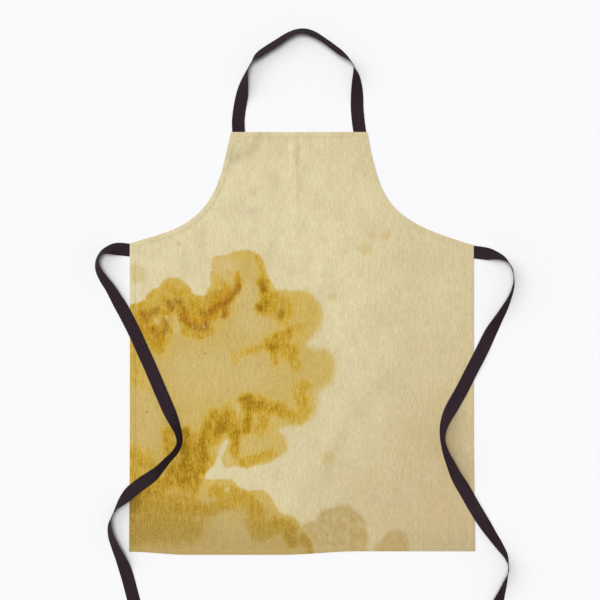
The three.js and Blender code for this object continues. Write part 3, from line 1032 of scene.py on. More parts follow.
@dataclass(frozen=True)
class Blots:
    """Where the stain lies, in millimetres from the lower left corner of the cloth.

    Attributes:
        cloud: Outline of the large stain.
        patches: Outlines of the duller ones along the bottom hem.
        faint: Rounds of faint ones, as (x, y, radius).
        amber: Strokes where it is strong, as (strength, width, places...).
        rust: Strokes where it is strong and reddish.
        tide: Lines where it dried, as places.
        pale: Strokes where it was washed out.
        creases: Strokes of painted shade along the bib's dent and down its middle crease.
        flecks: Rounds of small dark specks.
    """

    cloud: tuple = (
        (-30, 494), (8, 496), (22, 499), (31, 505), (36, 515), (45, 524), (56, 529), (64, 539),
        (73, 547), (84, 551), (96, 549), (106, 543), (115, 535), (122, 525), (127, 516), (136, 513),
        (147, 513), (152, 518), (156, 528), (163, 535), (162, 555), (162, 577), (165, 590), (178, 593),
        (190, 595), (200, 600), (215, 601), (225, 605), (240, 604), (254, 597), (265, 587), (271, 573),
        (274, 556), (279, 544), (288, 534), (293, 525), (306, 523), (326, 524), (344, 523), (357, 519),
        (367, 511), (374, 500), (382, 491), (384, 478), (382, 464), (377, 450), (370, 439), (360, 430),
        (352, 421), (352, 413), (360, 408), (371, 406), (385, 408), (397, 403), (404, 392), (409, 378),
        (409, 362), (404, 349), (398, 338), (388, 331), (376, 326), (373, 314), (373, 300), (370, 287),
        (363, 274), (352, 263), (338, 257), (320, 256), (305, 252), (296, 246), (301, 238), (310, 229),
        (315, 218), (312, 206), (304, 197), (291, 188), (278, 182), (262, 177), (246, 173), (232, 169),
        (220, 172), (208, 176), (197, 170), (188, 172), (183, 182), (184, 194), (189, 205), (194, 215),
        (197, 225), (190, 228), (183, 218), (178, 206), (174, 194), (172, 183), (166, 175), (158, 167),
        (151, 159), (149, 150), (158, 146), (175, 146), (192, 148), (206, 146), (214, 138), (222, 130),
        (232, 126), (247, 125), (263, 127), (274, 120), (284, 109), (291, 96), (298, 84), (308, 78),
        (322, 76), (332, 70), (342, 57), (352, 44), (358, 34), (363, 22), (366, 8), (368, -40),
        (300, -900), (-900, -900), (-900, 494), (-80, 494),
    )
    patches: tuple = (
        (
            (340, 64), (360, 63), (372, 71), (381, 86), (390, 93), (404, 91), (420, 97), (438, 97),
            (446, 90), (454, 82), (464, 75), (470, 64), (474, 48), (476, 30), (477, -40), (460, -200),
            (360, -200), (340, -40),
        ),
        (
            (482, -40), (486, 12), (502, 22), (510, 36), (522, 43), (538, 43), (550, 34), (558, 18),
            (560, -40), (550, -200), (490, -200),
        ),
    )
    faint: tuple = (
        (396, 192, 18), (530, 125, 10), (470, 605, 18), (485, 630, 12), (510, 632, 14), (540, 600, 10),
        (15, 555, 22), (402, 512, 14), (250, 720, 12), (97, 618, 10),
    )
    amber: tuple = (
        (0.5, 30, (20, 488), (84, 514), (124, 492), (150, 466), (184, 500), (196, 540)),
        (0.55, 18, (12, 486), (40, 478), (62, 486), (86, 490)),
        (0.8, 20, (28, 462), (34, 440), (46, 425)), (0.75, 19, (58, 442), (62, 424), (56, 412)),
        (0.65, 13, (70, 478), (76, 446)), (0.5, 30, (84, 512), (112, 512)),
        (0.8, 13, (104, 494), (106, 466), (116, 452)), (0.7, 19, (128, 492), (136, 464)),
        (0.75, 15, (150, 482), (166, 476)), (0.7, 12, (112, 442), (136, 436), (158, 444)),
        (0.62, 18, (160, 506), (180, 512), (198, 520)), (0.75, 13, (176, 486), (190, 484)),
        (0.75, 6, (213, 560), (218, 532)), (0.5, 9, (256, 592), (262, 566), (266, 544)),
        (1.0, 12, (266, 540), (269, 520), (272, 502), (264, 491)), (0.8, 13, (262, 488), (278, 484)),
        (0.7, 18, (286, 504), (300, 484), (302, 470)), (0.6, 14, (312, 502), (318, 478)),
        (0.5, 9, (208, 398), (210, 380)), (0.65, 9, (226, 400), (246, 405), (264, 409), (282, 414)),
        (0.9, 14, (280, 420), (298, 430), (314, 437)), (0.85, 15, (288, 410), (306, 406), (324, 402)),
        (0.75, 9, (288, 396), (291, 382)), (0.6, 14, (322, 388), (332, 374)),
        (0.5, 16, (326, 424), (336, 450)), (0.3, 26, (346, 500), (360, 470), (350, 440)),
        (0.7, 14, (346, 334), (336, 316), (346, 304)), (0.6, 16, (350, 296), (348, 276), (334, 266)),
        (0.75, 13, (300, 288), (312, 276), (324, 276)), (0.95, 12, (226, 306), (240, 308), (262, 300)),
        (1.1, 11, (234, 304), (236, 272), (232, 246)), (0.95, 14, (250, 294), (274, 292), (296, 290)),
        (0.7, 13, (262, 276), (270, 258), (256, 244)), (0.9, 8, (212, 244), (213, 224), (208, 204)),
        (1.0, 14, (168, 276), (180, 270), (194, 272)), (1.1, 15, (184, 254), (202, 250), (208, 240)),
        (1.0, 13, (156, 258), (150, 234), (144, 212), (140, 194)), (0.9, 13, (172, 246), (166, 226)),
        (0.6, 10, (130, 240), (128, 222)), (0.55, 14, (196, 288), (216, 262)),
        (1.2, 13, (110, 240), (108, 214), (110, 190), (112, 168), (112, 148)),
        (1.1, 19, (134, 204), (142, 182), (126, 162), (108, 142)),
        (0.85, 11, (150, 198), (155, 182), (146, 166)),
        (1.0, 17, (92, 170), (84, 150), (62, 134), (34, 120), (10, 106)),
        (0.85, 12, (132, 144), (126, 120)), (0.85, 15, (76, 238), (80, 214), (80, 200)),
        (1.4, 12, (14, 104), (2, 86)), (0.8, 12, (0, 70), (2, 40)),
        (0.8, 26, (30, 92), (70, 100), (112, 96)), (0.68, 34, (10, 44), (64, 56), (116, 60)),
        (0.65, 15, (168, 124), (200, 122), (216, 116)),
        (0.75, 13, (134, 92), (156, 86), (188, 100), (206, 100)),
        (0.75, 19, (236, 104), (252, 86), (252, 62), (262, 46)),
        (0.85, 13, (286, 62), (310, 58), (320, 50)), (1.05, 11, (318, 40), (324, 26)),
        (0.8, 10, (344, 32), (358, 18), (364, 6)), (0.55, 12, (272, 52), (290, 48)),
        (0.55, 10, (206, 214), (212, 194), (226, 182)),
        (0.65, 11, (226, 181), (246, 187), (270, 194), (284, 200)),
        (0.5, 13, (4, 410), (12, 376), (8, 346)), (0.75, 16, (10, 200), (14, 178), (8, 152)),
        (0.35, 12, (20, 344), (38, 332)), (0.6, 18, (36, 190), (40, 176)),
        (0.9, 13, (176, 238), (184, 248)), (0.2, 24, (226, 206), (280, 214)),
        (0.18, 40, (120, 330), (200, 340)),
    )
    rust: tuple = (
        (0.8, 11, (106, 472), (120, 462), (136, 460), (152, 466), (166, 482)),
        (0.9, 13, (168, 490), (186, 502), (204, 516)), (0.9, 8, (184, 498), (188, 480), (192, 474)),
        (0.7, 9, (216, 528), (218, 546)), (0.45, 15, (168, 514), (188, 522)),
        (0.75, 11, (26, 474), (30, 450)), (0.6, 8, (78, 496), (84, 488)),
        (0.75, 10, (58, 440), (64, 424)), (0.5, 8, (112, 466), (116, 474)),
        (0.45, 8, (264, 530), (274, 520)), (0.3, 12, (300, 430), (312, 436)),
        (0.3, 12, (146, 240), (152, 224)), (0.35, 12, (142, 182), (150, 172)),
        (0.3, 9, (302, 284), (312, 272)),
    )
    tide: tuple = (
        ((103, 486), (105, 470), (113, 462), (122, 454), (134, 449), (150, 450), (154, 462)),
        ((152, 478), (162, 482), (170, 490), (182, 496), (193, 501), (200, 512), (211, 521), (217, 531)),
        ((184, 496), (189, 486), (188, 474)), ((26, 478), (30, 466), (42, 478), (54, 484)),
        ((78, 499), (83, 488)), ((70, 462), (72, 448), (67, 440)), ((48, 446), (52, 434)),
        ((93, 502), (98, 502)), ((263, 534), (268, 527)), ((258, 492), (264, 488)),
        ((302, 482), (302, 472)),
    )
    pale: tuple = (
        (0.5, 60, (130, 355), (230, 360)), (0.7, 7, (50, 466), (54, 460)),
        (0.9, 5, (73, 474), (73, 464)), (0.6, 12, (94, 476), (96, 446)),
        (0.5, 30, (236, 520), (232, 460)), (0.4, 24, (250, 446), (280, 458)),
        (0.4, 30, (30, 300), (34, 236)), (0.3, 24, (226, 212), (272, 212)),
        (0.7, 26, (182, 578), (196, 560)), (0.35, 30, (190, 60), (250, 30)),
        (0.9, 6, (98, 105), (104, 107)), (0.9, 5, (193, 127), (197, 129)),
        (0.5, 16, (216, 268), (212, 290)), (0.6, 12, (190, 190), (198, 182)),
        (0.5, 9, (182, 208), (194, 222)),
    )
    # Painted shade: darker strokes beside the bib's dent and down its middle crease.
    creases: tuple = (
        (0.4, 11, (267, 844), (256, 814), (240, 796), (214, 788)), (0.18, 6, (341, 840), (338, 774)),
    )
    flecks: tuple = (
        (35, 282, 4), (32, 251, 3), (144, 430, 3.5), (147, 398, 3), (152, 398, 3), (96, 502, 4),
        (252, 718, 2.5), (99, 616, 3), (530, 118, 3), (394, 36, 3), (174, 44, 3), (70, 257, 3),
    )


@dataclass
class Panel:
    """The one piece of canvas: skirt below the waist, and bib above it between two armholes.

    Attributes:
        outline: Its finished edge.
        blots: Where it is stained.
        band: Distances from the edge that have their own lines in the mesh.
        stain_step: Mesh spacing where the stain lies.
        plain_step: Mesh spacing elsewhere.
        stain_right: The stain's right limit, as a share of half the width.
    """

    outline: Outline
    blots: Blots
    band: tuple[float, ...] = tuple(
        d * MM for d in (0, 0.3, 0.9, 2, 3.6, 5.6, 7.4, 8.4, 9, 9.6, 10.4, 11.6, 14, 19)
    )
    stain_step: float = 3.7 * MM
    plain_step: float = 6.4 * MM
    stain_right: float = 0.2

    def rows(self) -> np.ndarray:
        """The y of each line of the mesh, from the bottom edge to the top."""
        band = np.array(self.band)
        skirt = np.arange(BOTTOM_Y + band[-1] + self.stain_step, WAIST_Y - 1 * MM, self.stain_step)
        bib = self.outline.armhole_rows(4.4 * MM, band[-1] + 2 * MM)
        return np.concatenate((BOTTOM_Y + band, skirt, bib, (TOP_Y - band)[::-1]))

    def grid(self) -> tuple[np.ndarray, np.ndarray, np.ndarray]:
        """Lays the mesh's lines.

        Returns:
            x, y and the distance from the nearest edge, each with one row for each line. The outer
            columns follow the edge at the band's distances, and the rest share out what is between.
        """
        y = self.rows()
        edge = np.stack([self.outline.half_width(y, d) for d in self.band], axis=1)
        left = int(SIDE_X * (1 + self.stain_right) / self.stain_step)
        right = int(SIDE_X * (1 - self.stain_right) / self.plain_step)
        shares = np.concatenate((
            np.linspace(-1, self.stain_right, left, endpoint=False),
            np.linspace(self.stain_right, 1, right + 1),
        ))[1:-1]
        inner = edge[:, -1:] * shares
        x = np.concatenate((-edge, inner, edge[:, ::-1]), axis=1)
        across = np.array(self.band)[None].repeat(len(y), 0)
        within = self.band[-1] + edge[:, -1:] * (1 - abs(shares))
        distance = np.concatenate((across, within, across[:, ::-1]), axis=1)
        level = np.minimum(y - BOTTOM_Y, TOP_Y - y)[:, None]
        return x, y[:, None].repeat(x.shape[1], 1), np.minimum(distance, level)

    def over_tapes(self, x: np.ndarray, y: np.ndarray) -> np.ndarray:
        """1 over the sewn ends of the tapes behind the cloth, falling to 0 over 4 mm round them.

        Args:
            x: X of the points.
            y: Y of the points.

        Returns:
            The share.
        """
        half = TAPE_WIDTH / 2
        soft = 4 * MM
        strap = np.maximum(abs(abs(x) - STRAP_X) - half, TOP_Y - SEWN_LENGTH - y)
        tie = np.maximum(abs(y - TIE_Y) - half, SIDE_X - SEWN_LENGTH - abs(x))
        return np.maximum(1 - smooth(strap, 0, soft), 1 - smooth(tie, 0, soft))

    def hem_rise(self, x: np.ndarray, y: np.ndarray, distance: np.ndarray) -> np.ndarray:
        """How far the turned hem lifts the cloth, as a share of the hem's thickness.

        The hem is full from its fold to its inner edge, crowned between them, pinched by the seam,
        and drawn into small puckers along it.

        Args:
            x: X of the points.
            y: Y of the points.
            distance: Distance of the points from the edge.

        Returns:
            The share, at about 1 on the hem.
        """
        along = x + y
        full = 1 - smooth(distance, HEM_WIDTH - 0.6 * MM, HEM_WIDTH + 1.6 * MM)
        crown = 0.14 * ridge(distance - 4.5 * MM, 3 * MM)
        pinch = 0.2 * ridge(distance - SEAM_INSET, 0.8 * MM)
        puckers = 0.5 * rumple(along * 12, y * 2, 5, 160 * MM) * ridge(distance - 6.5 * MM, 4.5 * MM)
        return full + crown - pinch + 0.16 * puckers

    def folds(self, x: np.ndarray, y: np.ndarray) -> np.ndarray:
        """Height of the creases and slow waves of cloth that has been folded away and laid out.

        Ridges run down the middle of the bib and slantwise over the lower right of the skirt, on top
        of slow uneven waves, and a short stretch of the bib's upper left lies flat. The strips under
        the ties are kept low, as they weigh the cloth down.

        Args:
            x: X of the points.
            y: Y of the points.

        Returns:
            The heights, in metres.
        """
        middle = -11 * MM + 4 * MM * np.sin((TOP_Y - y) / (70 * MM))
        crease = ridge(x - middle, 8 * MM) * smooth(y, TOP_Y - 260 * MM, TOP_Y - 40 * MM)
        pressed = ridge(to_segment(x, y, (-0.100, 0.818), (-0.127, 0.782)), 12 * MM)
        slant = ridge(to_segment(x, y, (0.185, 0.42), (-0.024, 0.086)), 22 * MM)
        second = ridge(to_segment(x, y, (0.105, 0.335), (0.045, 0.17)), 13 * MM)
        third = ridge(to_segment(x, y, (0.25, 0.56), (0.09, 0.47)), 18 * MM)
        fourth = ridge(to_segment(x, y, (0.06, 0.60), (-0.03, 0.36)), 22 * MM)
        slow = rumple(x, y, 11, 300 * MM)
        brisk = rumple(x * 1.4, y * 0.8, 23, 90 * MM)
        free = 1 - smooth(abs(x), 200 * MM, 235 * MM)
        height = 3.0 * crease - 2.6 * pressed + 1.3 * slant + 1.2 * second + 2.0 * third + 1.6 * fourth
        lying = np.clip(0.55 + 0.42 * slow + 0.22 * brisk, 0.05, None) * (0.75 + 0.75 * free)
        return (lying + height * free) * MM

    def heights(self, x: np.ndarray, y: np.ndarray, distance: np.ndarray) -> tuple[np.ndarray, np.ndarray]:
        """Heights of the front and the back of the cloth, which thins into a rounded rim.

        Args:
            x: X of the points.
            y: Y of the points.
            distance: Distance of the points from the edge.

        Returns:
            The front's heights and the back's.
        """
        lift = np.maximum(self.hem_rise(x, y, distance), self.over_tapes(x, y)) * HEM_THICKNESS
        loose = smooth(distance, HEM_WIDTH, 34 * MM)
        middle = CLOTH_THICKNESS / 2 + 0.04 * MM + np.maximum(lift, self.folds(x, y) * loose)
        half = CLOTH_THICKNESS / 2 * (0.2 + 0.8 * np.sqrt(np.clip(distance / (0.9 * MM), 0, 1)))
        return middle + half, np.maximum(middle - half, 0.02 * MM)

    def fields(self, x: np.ndarray, y: np.ndarray) -> dict[str, np.ndarray]:
        """The numbers that the stain's finish reads, at each vertex.

        A name that ends in edge is a distance into a shape, in metres and positive inside it. The
        others are strengths from 0 to about 1.

        Args:
            x: X of the vertices.
            y: Y of the vertices.

        Returns:
            The numbers, by name.
        """
        u, v = (x + SIDE_X) / MM, (y - BOTTOM_Y) / MM
        blots = self.blots
        patches = np.maximum.reduce([depth_in(u, v, patch) for patch in blots.patches])
        faint = np.maximum.reduce([r - np.hypot(u - cx, v - cy) for cx, cy, r in blots.faint])
        specks = np.maximum.reduce([1 - np.hypot(u - cx, v - cy) / (1.6 * r) for cx, cy, r in blots.flecks])
        tide = np.minimum.reduce([to_line(u, v, line) for line in blots.tide])
        foot = (1 - smooth(v, 30, 520)) * smooth(u, 160, 400)
        yellowed = 0.06 + 0.48 * smooth(u, 300, 700) + 0.42 * foot + 0.14 * smooth(v, 720, 830)
        # A grey tint towards the right of the bottom hem, and painted shade along the bib's dent and crease.
        soiled = 0.36 * (1 - smooth(v, 0, 60)) * smooth(u, 480, 660)
        for strength, width, *places in blots.creases:
            soiled = soiled + strength * ridge(to_line(u, v, places), width)
        return {
            "cloud_edge": depth_in(u, v, blots.cloud) * MM,
            "soft_edge": smooth(u, 250, 350) * smooth(v, 150, 240) * (1 - 0.6 * smooth(v, 430, 520)),
            "low_edge": 1 - smooth(v + 0.1 * u, 40, 170),
            "patch_edge": patches * MM,
            "faint_edge": (faint - 4) * MM,
            "tide_edge": tide * MM,
            "amber": strokes(u, v, blots.amber),
            "rust": strokes(u, v, blots.rust),
            "pale": strokes(u, v, blots.pale),
            "fleck_depth": specks,
            "soiled": soiled,
            "yellowed": yellowed,
        }

    def build(self, finish: CanvasFinish) -> bpy.types.Object:
        """Makes the panel as one closed sheet: its front, its back, and a rim between them.

        Args:
            finish: Its canvas.

        Returns:
            The panel.
        """
        x, y, distance = self.grid()
        front, back = self.heights(x, y, distance)
        rows, columns = x.shape
        count = rows * columns
        points = np.concatenate([np.stack((x, y, z), axis=-1).reshape(-1, 3) for z in (front, back)])
        index = np.arange(count).reshape(rows, columns)
        around = np.concatenate((index[0, :-1], index[:-1, -1], index[-1, :0:-1], index[:0:-1, 0]))
        following = np.roll(around, -1)
        rim = np.stack((around, around + count, following + count, following), axis=-1)
        faces = np.concatenate((grid_quads(rows, columns), grid_quads(rows, columns, count)[:, ::-1], rim))
        flat = np.stack((x, y), axis=-1).reshape(-1, 2)
        fields = {key: np.tile(value.ravel(), 2) for key, value in self.fields(x, y).items()}
        piece = make_piece("canvas_panel", points, faces, finish.make(), np.tile(flat, (2, 1)), fields)
        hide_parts("skirt_panel", "bib_panel")
        return bend_at_waist(piece)


def bend_at_waist(piece: bpy.types.Object) -> bpy.types.Object:
    """Bakes the placement of a piece that crosses the waist into its mesh."""
    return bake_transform(piece)


# ---- Hems and seams ----

@dataclass(frozen=True)
class EdgeRun:
    """A stretch of the panel's edge: places on it, and directions into the cloth, each n by 2."""

    place: np.ndarray
    inward: np.ndarray

    def moved(self, inset: float) -> np.ndarray:
        """The run moved into the cloth by a distance."""
        return self.place + self.inward * inset

    @staticmethod
    def straight(a: tuple[float, float], b: tuple[float, float], step: float = 4 * MM) -> "EdgeRun":
        """A straight run from a to b, with the cloth on its left.

        Args:
            a: Where it starts.
            b: Where it ends.
            step: Distance between its places.

        Returns:
            The run.
        """
        count = max(2, int(np.hypot(b[0] - a[0], b[1] - a[1]) / step))
        place = np.linspace(a, b, count)
        along = (np.array(b) - a) / np.hypot(b[0] - a[0], b[1] - a[1])
        return EdgeRun(place, np.tile((-along[1], along[0]), (count, 1)))

    def between(self, low: float, high: float) -> "EdgeRun":
        """The part of the run whose y lies between two heights."""
        kept = (self.place[:, 1] >= low) & (self.place[:, 1] <= high)
        return EdgeRun(self.place[kept], self.inward[kept])


@dataclass
class Hems:
    """The turned edges behind the panel, and the lockstitch that holds them.

    Attributes:
        outline: The panel's finished edge.
        panel: The panel, whose surface the stitches lie on.
        stitch_pitch: From one stitch to the next.
        stitch_length: How much of a stitch shows.
        thread: Half the thickness of the thread.
        tack_pitch: From one stitch of a bartack to the next.
        tack_inset: How far a bartack counts as being from the cloth's edge.
    """

    outline: Outline
    panel: Panel
    stitch_pitch: float = 3.3 * MM
    stitch_length: float = 2.7 * MM
    thread: float = 0.26 * MM
    tack_pitch: float = 0.42 * MM
    tack_inset: float = 19 * MM

    def armhole(self, side: Side, step: float = 3 * MM) -> EdgeRun:
        """The run along one side's armhole, from the bib's corner down to the waist.

        Args:
            side: Which side.
            step: About the distance between its places.

        Returns:
            The run.
        """
        place, inward = self.outline.armhole(np.linspace(0, 1, int(330 * MM / step)))
        flip = np.array((side.value, 1))
        return EdgeRun(place * flip, inward * flip)

    def profile(self) -> np.ndarray:
        """Section of a hem: distance from the edge and height, anticlockwise from its inner corner.

        Two pressed layers with rounded folds at both sides, drawn thin where the seam passes.
        """
        under = [(0.9, 0.22), (2.2, 0.08), (5.0, 0.04), (7.6, 0.08), (8.5, 0.16), (9.0, 0.26), (9.4, 0.14)]
        over = [(9.4, 0.9), (9.0, 0.88), (8.5, 0.9), (7.6, 0.94), (5.0, 0.97), (2.2, 0.95), (0.9, 0.8)]
        around = [(0.35, 0.5), *under, (9.85, 0.3), (10.0, 0.55), (9.8, 0.8), *over]
        return np.array(around) * (MM, HEM_THICKNESS)

    def strip(self, name: str, nodes: str, run: EdgeRun, finish: bpy.types.Material) -> bpy.types.Object:
        """Carries the hem's section along a run of the edge.

        Args:
            name: The piece's name.
            nodes: The CAD node that it stands for.
            run: The edge that it follows.
            finish: Its material.

        Returns:
            The hem.
        """
        section = self.profile()
        place = run.place[:, None] + run.inward[:, None] * section[None, :, :1]
        run_length = run_along(run.place)
        wave = 1 + 0.05 * rumple(run_length * 8, run_length * 0, 31, 150 * MM)
        height = np.broadcast_to(section[:, 1], place.shape[:2]) * np.clip(wave, 0.85, 1.0)[:, None]
        points = np.concatenate((place, height[..., None]), axis=-1).reshape(-1, 3)
        around = run_along(section)
        uv = np.stack(np.meshgrid(around, run_length), axis=-1).reshape(-1, 2)
        faces = tube_quads(len(run.place), len(section))
        turned_left = run.inward[0, 0] * (run.place[1, 1] - run.place[0, 1]) < (
            run.inward[0, 1] * (run.place[1, 0] - run.place[0, 0])
        )
        piece = make_piece(name, points, faces if turned_left else faces[:, ::-1], finish, uv)
        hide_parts(nodes)
        return piece

    def stitch_parts(
        self, middle: np.ndarray, along: np.ndarray, length: float, lift: float, up: float
    ) -> Surface:
        """One short length of thread for each place, arched so that both its ends go into the cloth.

        Each is five rings of six corners round a line whose height falls as 1 - t^2 towards its ends.

        Args:
            middle: Where each stitch is, n by 3.
            along: The direction that it lies in, n by 2.
            length: How long it is.
            lift: How far the middle stands above the place.
            up: 1 on the front of the cloth and -1 on the back.

        Returns:
            Points, quads and cloth coordinates.
        """
        t = np.array((-1, -0.6, 0, 0.6, 1))
        reach = np.array((0.35, 0.9, 1.0, 0.9, 0.35)) * self.thread
        turn = np.arange(6) * np.pi / 3
        aside = np.outer(reach, np.cos(turn)) * 1.15
        rise = np.outer(reach, np.sin(turn)) + ((1 - t**2) * (lift + 0.3 * MM) - 0.3 * MM)[:, None]
        forward = np.broadcast_to((t * length / 2)[:, None], aside.shape)
        left = np.stack((-along[:, 1], along[:, 0]), axis=-1)
        flat = (
            middle[:, None, None, :2]
            + along[:, None, None] * forward[None, ..., None]
            + left[:, None, None] * aside[None, ..., None] * up
        )
        height = middle[:, None, None, 2:] + up * rise[None, ..., None]
        points = np.concatenate((flat, height), axis=-1).reshape(-1, 3)
        quads = tube_quads(5, 6)
        faces = (quads[None] + (np.arange(len(middle)) * 30)[:, None, None]).reshape(-1, 4)
        uv = np.stack((np.broadcast_to(turn, aside.shape), forward), axis=-1)
        shift = np.arange(len(middle))[:, None, None, None] * np.array((0, self.stitch_pitch))
        return points, faces, (uv[None] + shift).reshape(-1, 2)

    def height_at(self, place: np.ndarray, front: bool) -> np.ndarray:
        """Height of the cloth's front, or of the hem's underside, along the seam.

        Args:
            place: Places on the seam, n by 2.
            front: Whether the front is meant.

        Returns:
            The heights.
        """
        if not front:
            return np.full(len(place), 0.22 * HEM_THICKNESS)
        distance = np.full(len(place), SEAM_INSET)
        return self.panel.heights(place[:, 0], place[:, 1], distance)[0]

    def seam(self, name: str, nodes: str, line: np.ndarray, finish: bpy.types.Material) -> bpy.types.Object:
        """A seam of single stitches on the front of the cloth and on its back.

        Args:
            name: The piece's name.
            nodes: The CAD node that it stands for.
            line: The line that it follows, n by 2.
            finish: Its material.

        Returns:
            The seam.
        """
        run = run_along(line)
        count = int((run[-1] - self.stitch_length) / self.stitch_pitch)
        at = np.linspace(self.stitch_length / 2, run[-1] - self.stitch_length / 2, count)
        draw = np.random.default_rng(len(name) + count)
        parts = []
        for front, shift in ((True, 0.0), (False, 0.5)):
            seen = count if front else count - 1
            here = at[:seen] + shift * (at[1] - at[0]) + draw.normal(0, 0.07 * MM, seen)
            place = along_line(here, run, line)
            along = along_line(here + 1 * MM, run, line) - along_line(here - 1 * MM, run, line)
            along /= np.linalg.norm(along, axis=1, keepdims=True)
            slant = draw.normal(0.05, 0.03, len(here))[:, None]
            along = along + slant * np.stack((-along[:, 1], along[:, 0]), axis=-1)
            middle = np.column_stack((place, self.height_at(place, front)))
            up = 1.0 if front else -1.0
            lift = 0.08 * MM if front else -0.04 * MM
            parts.append(self.stitch_parts(middle, along, self.stitch_length, lift, up))
        points, faces, uv = merge(parts)
        piece = make_piece(name, points, faces, finish, uv)
        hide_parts(nodes)
        return piece

    def bartack(self, node: str, finish: bpy.types.Material) -> bpy.types.Object:
        """A dense bar of zigzag stitches over a few long ones, as long and wide as its CAD node.

        Args:
            node: The CAD node that it stands for.
            finish: Its material.

        Returns:
            The bartack.
        """
        low_corner, high_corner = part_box(node)
        size = high_corner - low_corner
        middle = (low_corner + high_corner) / 2
        centre = np.array((middle.x, middle.y))
        level = size.x > size.y
        length, width = max(size.x, size.y), min(size.x, size.y)
        count = int(length / self.tack_pitch)
        step = np.linspace(-length / 2, length / 2, count)
        lean = np.where(np.arange(count) % 2, 0.16, -0.16)
        frame_x, frame_y = ((1, 0), (0, 1)) if level else ((0, 1), (1, 0))
        place = centre + step[:, None] * frame_x
        along = np.array(frame_y) + lean[:, None] * frame_x
        top = self.panel.heights(place[:, 0], place[:, 1], np.full(count, self.tack_inset))[0]
        across = self.stitch_parts(np.column_stack((place, top)), along, width, 0.2 * MM, 1.0)
        rails = centre + np.array((-0.3, 0.0, 0.3))[:, None] * width * np.array(frame_y)
        deep = self.panel.heights(rails[:, 0], rails[:, 1], np.full(len(rails), self.tack_inset))[0]
        under = self.stitch_parts(
            np.column_stack((rails, deep)), np.tile(frame_x, (3, 1)), length, 0.02 * MM, 1.0
        )
        points, faces, uv = merge([across, under])
        piece = make_piece(f"{node}_threads", points, faces, finish, uv)
        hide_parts(node)
        return piece

    def build(self) -> list[bpy.types.Object]:
        """Makes every hem, seam and bartack; all but the armhole hems and seams are bound to the skirt or the
        bib.
        """
        cloth = CanvasFinish("hem_canvas", light="d6c99e", warm="c9b883", grey="beb38c").make()
        thread = ThreadFinish("cream_thread", "c4b588", "e4d8b2").make()
        bottom = EdgeRun.straight((-SIDE_X, BOTTOM_Y), (SIDE_X, BOTTOM_Y))
        reach = STRAP_X - TAPE_WIDTH / 2 - GAP
        top = EdgeRun.straight((reach, TOP_Y), (-reach, TOP_Y))
        low_seam = bottom.moved(SEAM_INSET)
        seam_reach = BIB_X - SEAM_INSET - HEM_WIDTH / 2
        top_seam = EdgeRun.straight((seam_reach, TOP_Y), (-seam_reach, TOP_Y)).moved(SEAM_INSET)
        made = [
            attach(self.strip("bottom_hem_fold", "bottom_hem", bottom, cloth), "skirt"),
            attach(self.strip("top_hem_fold", "top_hem", top, cloth), "bib"),
            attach(self.seam("bottom_hem_seam", "bottom_hem_stitching", low_seam, thread), "skirt"),
            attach(self.seam("top_hem_seam", "top_hem_stitching", top_seam, thread), "bib"),
        ]
        for side in Side:
            made.extend(self.one_side(side, cloth, thread))
        return made

    def one_side(
        self, side: Side, cloth: bpy.types.Material, thread: bpy.types.Material
    ) -> list[bpy.types.Object]:
        """Makes one side's hems, seams and bartacks.

        Args:
            side: Which side.
            cloth: The material of the hems.
            thread: The material of the stitches.

        Returns:
            The pieces; the armhole hem and seam are not bound to a body, the rest each to its own.
        """
        word = side.name.lower()
        flip = np.array((side.value, 1))
        low = BOTTOM_Y + HEM_WIDTH + GAP
        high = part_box("right_tie_sewn_end")[0].y - GAP
        right_edge = EdgeRun.straight((SIDE_X, low), (SIDE_X, high))
        edge = EdgeRun(right_edge.place * flip, right_edge.inward * flip)
        hem = self.strip(f"{word}_side_hem_fold", f"{word}_side_hem", edge, cloth)
        line = np.array(((SIDE_X - SEAM_INSET, low), (SIDE_X - SEAM_INSET, WAIST_Y - 2 * MM))) * flip
        seam = self.seam(f"{word}_side_seam", f"{word}_side_stitching", line, thread)
        made = [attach(hem, "skirt"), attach(seam, "skirt")]
        armhole = self.armhole(side)
        folded = armhole.between(WAIST_Y + GAP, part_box("right_neck_strap_end")[0].y - GAP)
        hem = self.strip(f"{word}_armhole_hem_fold", f"{word}_armhole_hem", folded, cloth)
        line = armhole.moved(SEAM_INSET)
        line = line[(line[:, 1] > WAIST_Y - 7 * MM) & (line[:, 1] < TOP_Y - 1 * MM)]
        seam = self.seam(f"{word}_armhole_seam", f"{word}_armhole_stitching", line, thread)
        made += [bend_at_waist(hem), bend_at_waist(seam)]
        for which, body in (("neck_strap", "bib"), ("tie", "skirt")):
            made.append(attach(self.bartack(f"{word}_{which}_bartack", thread), body))
        return made


# ---- Tapes ----

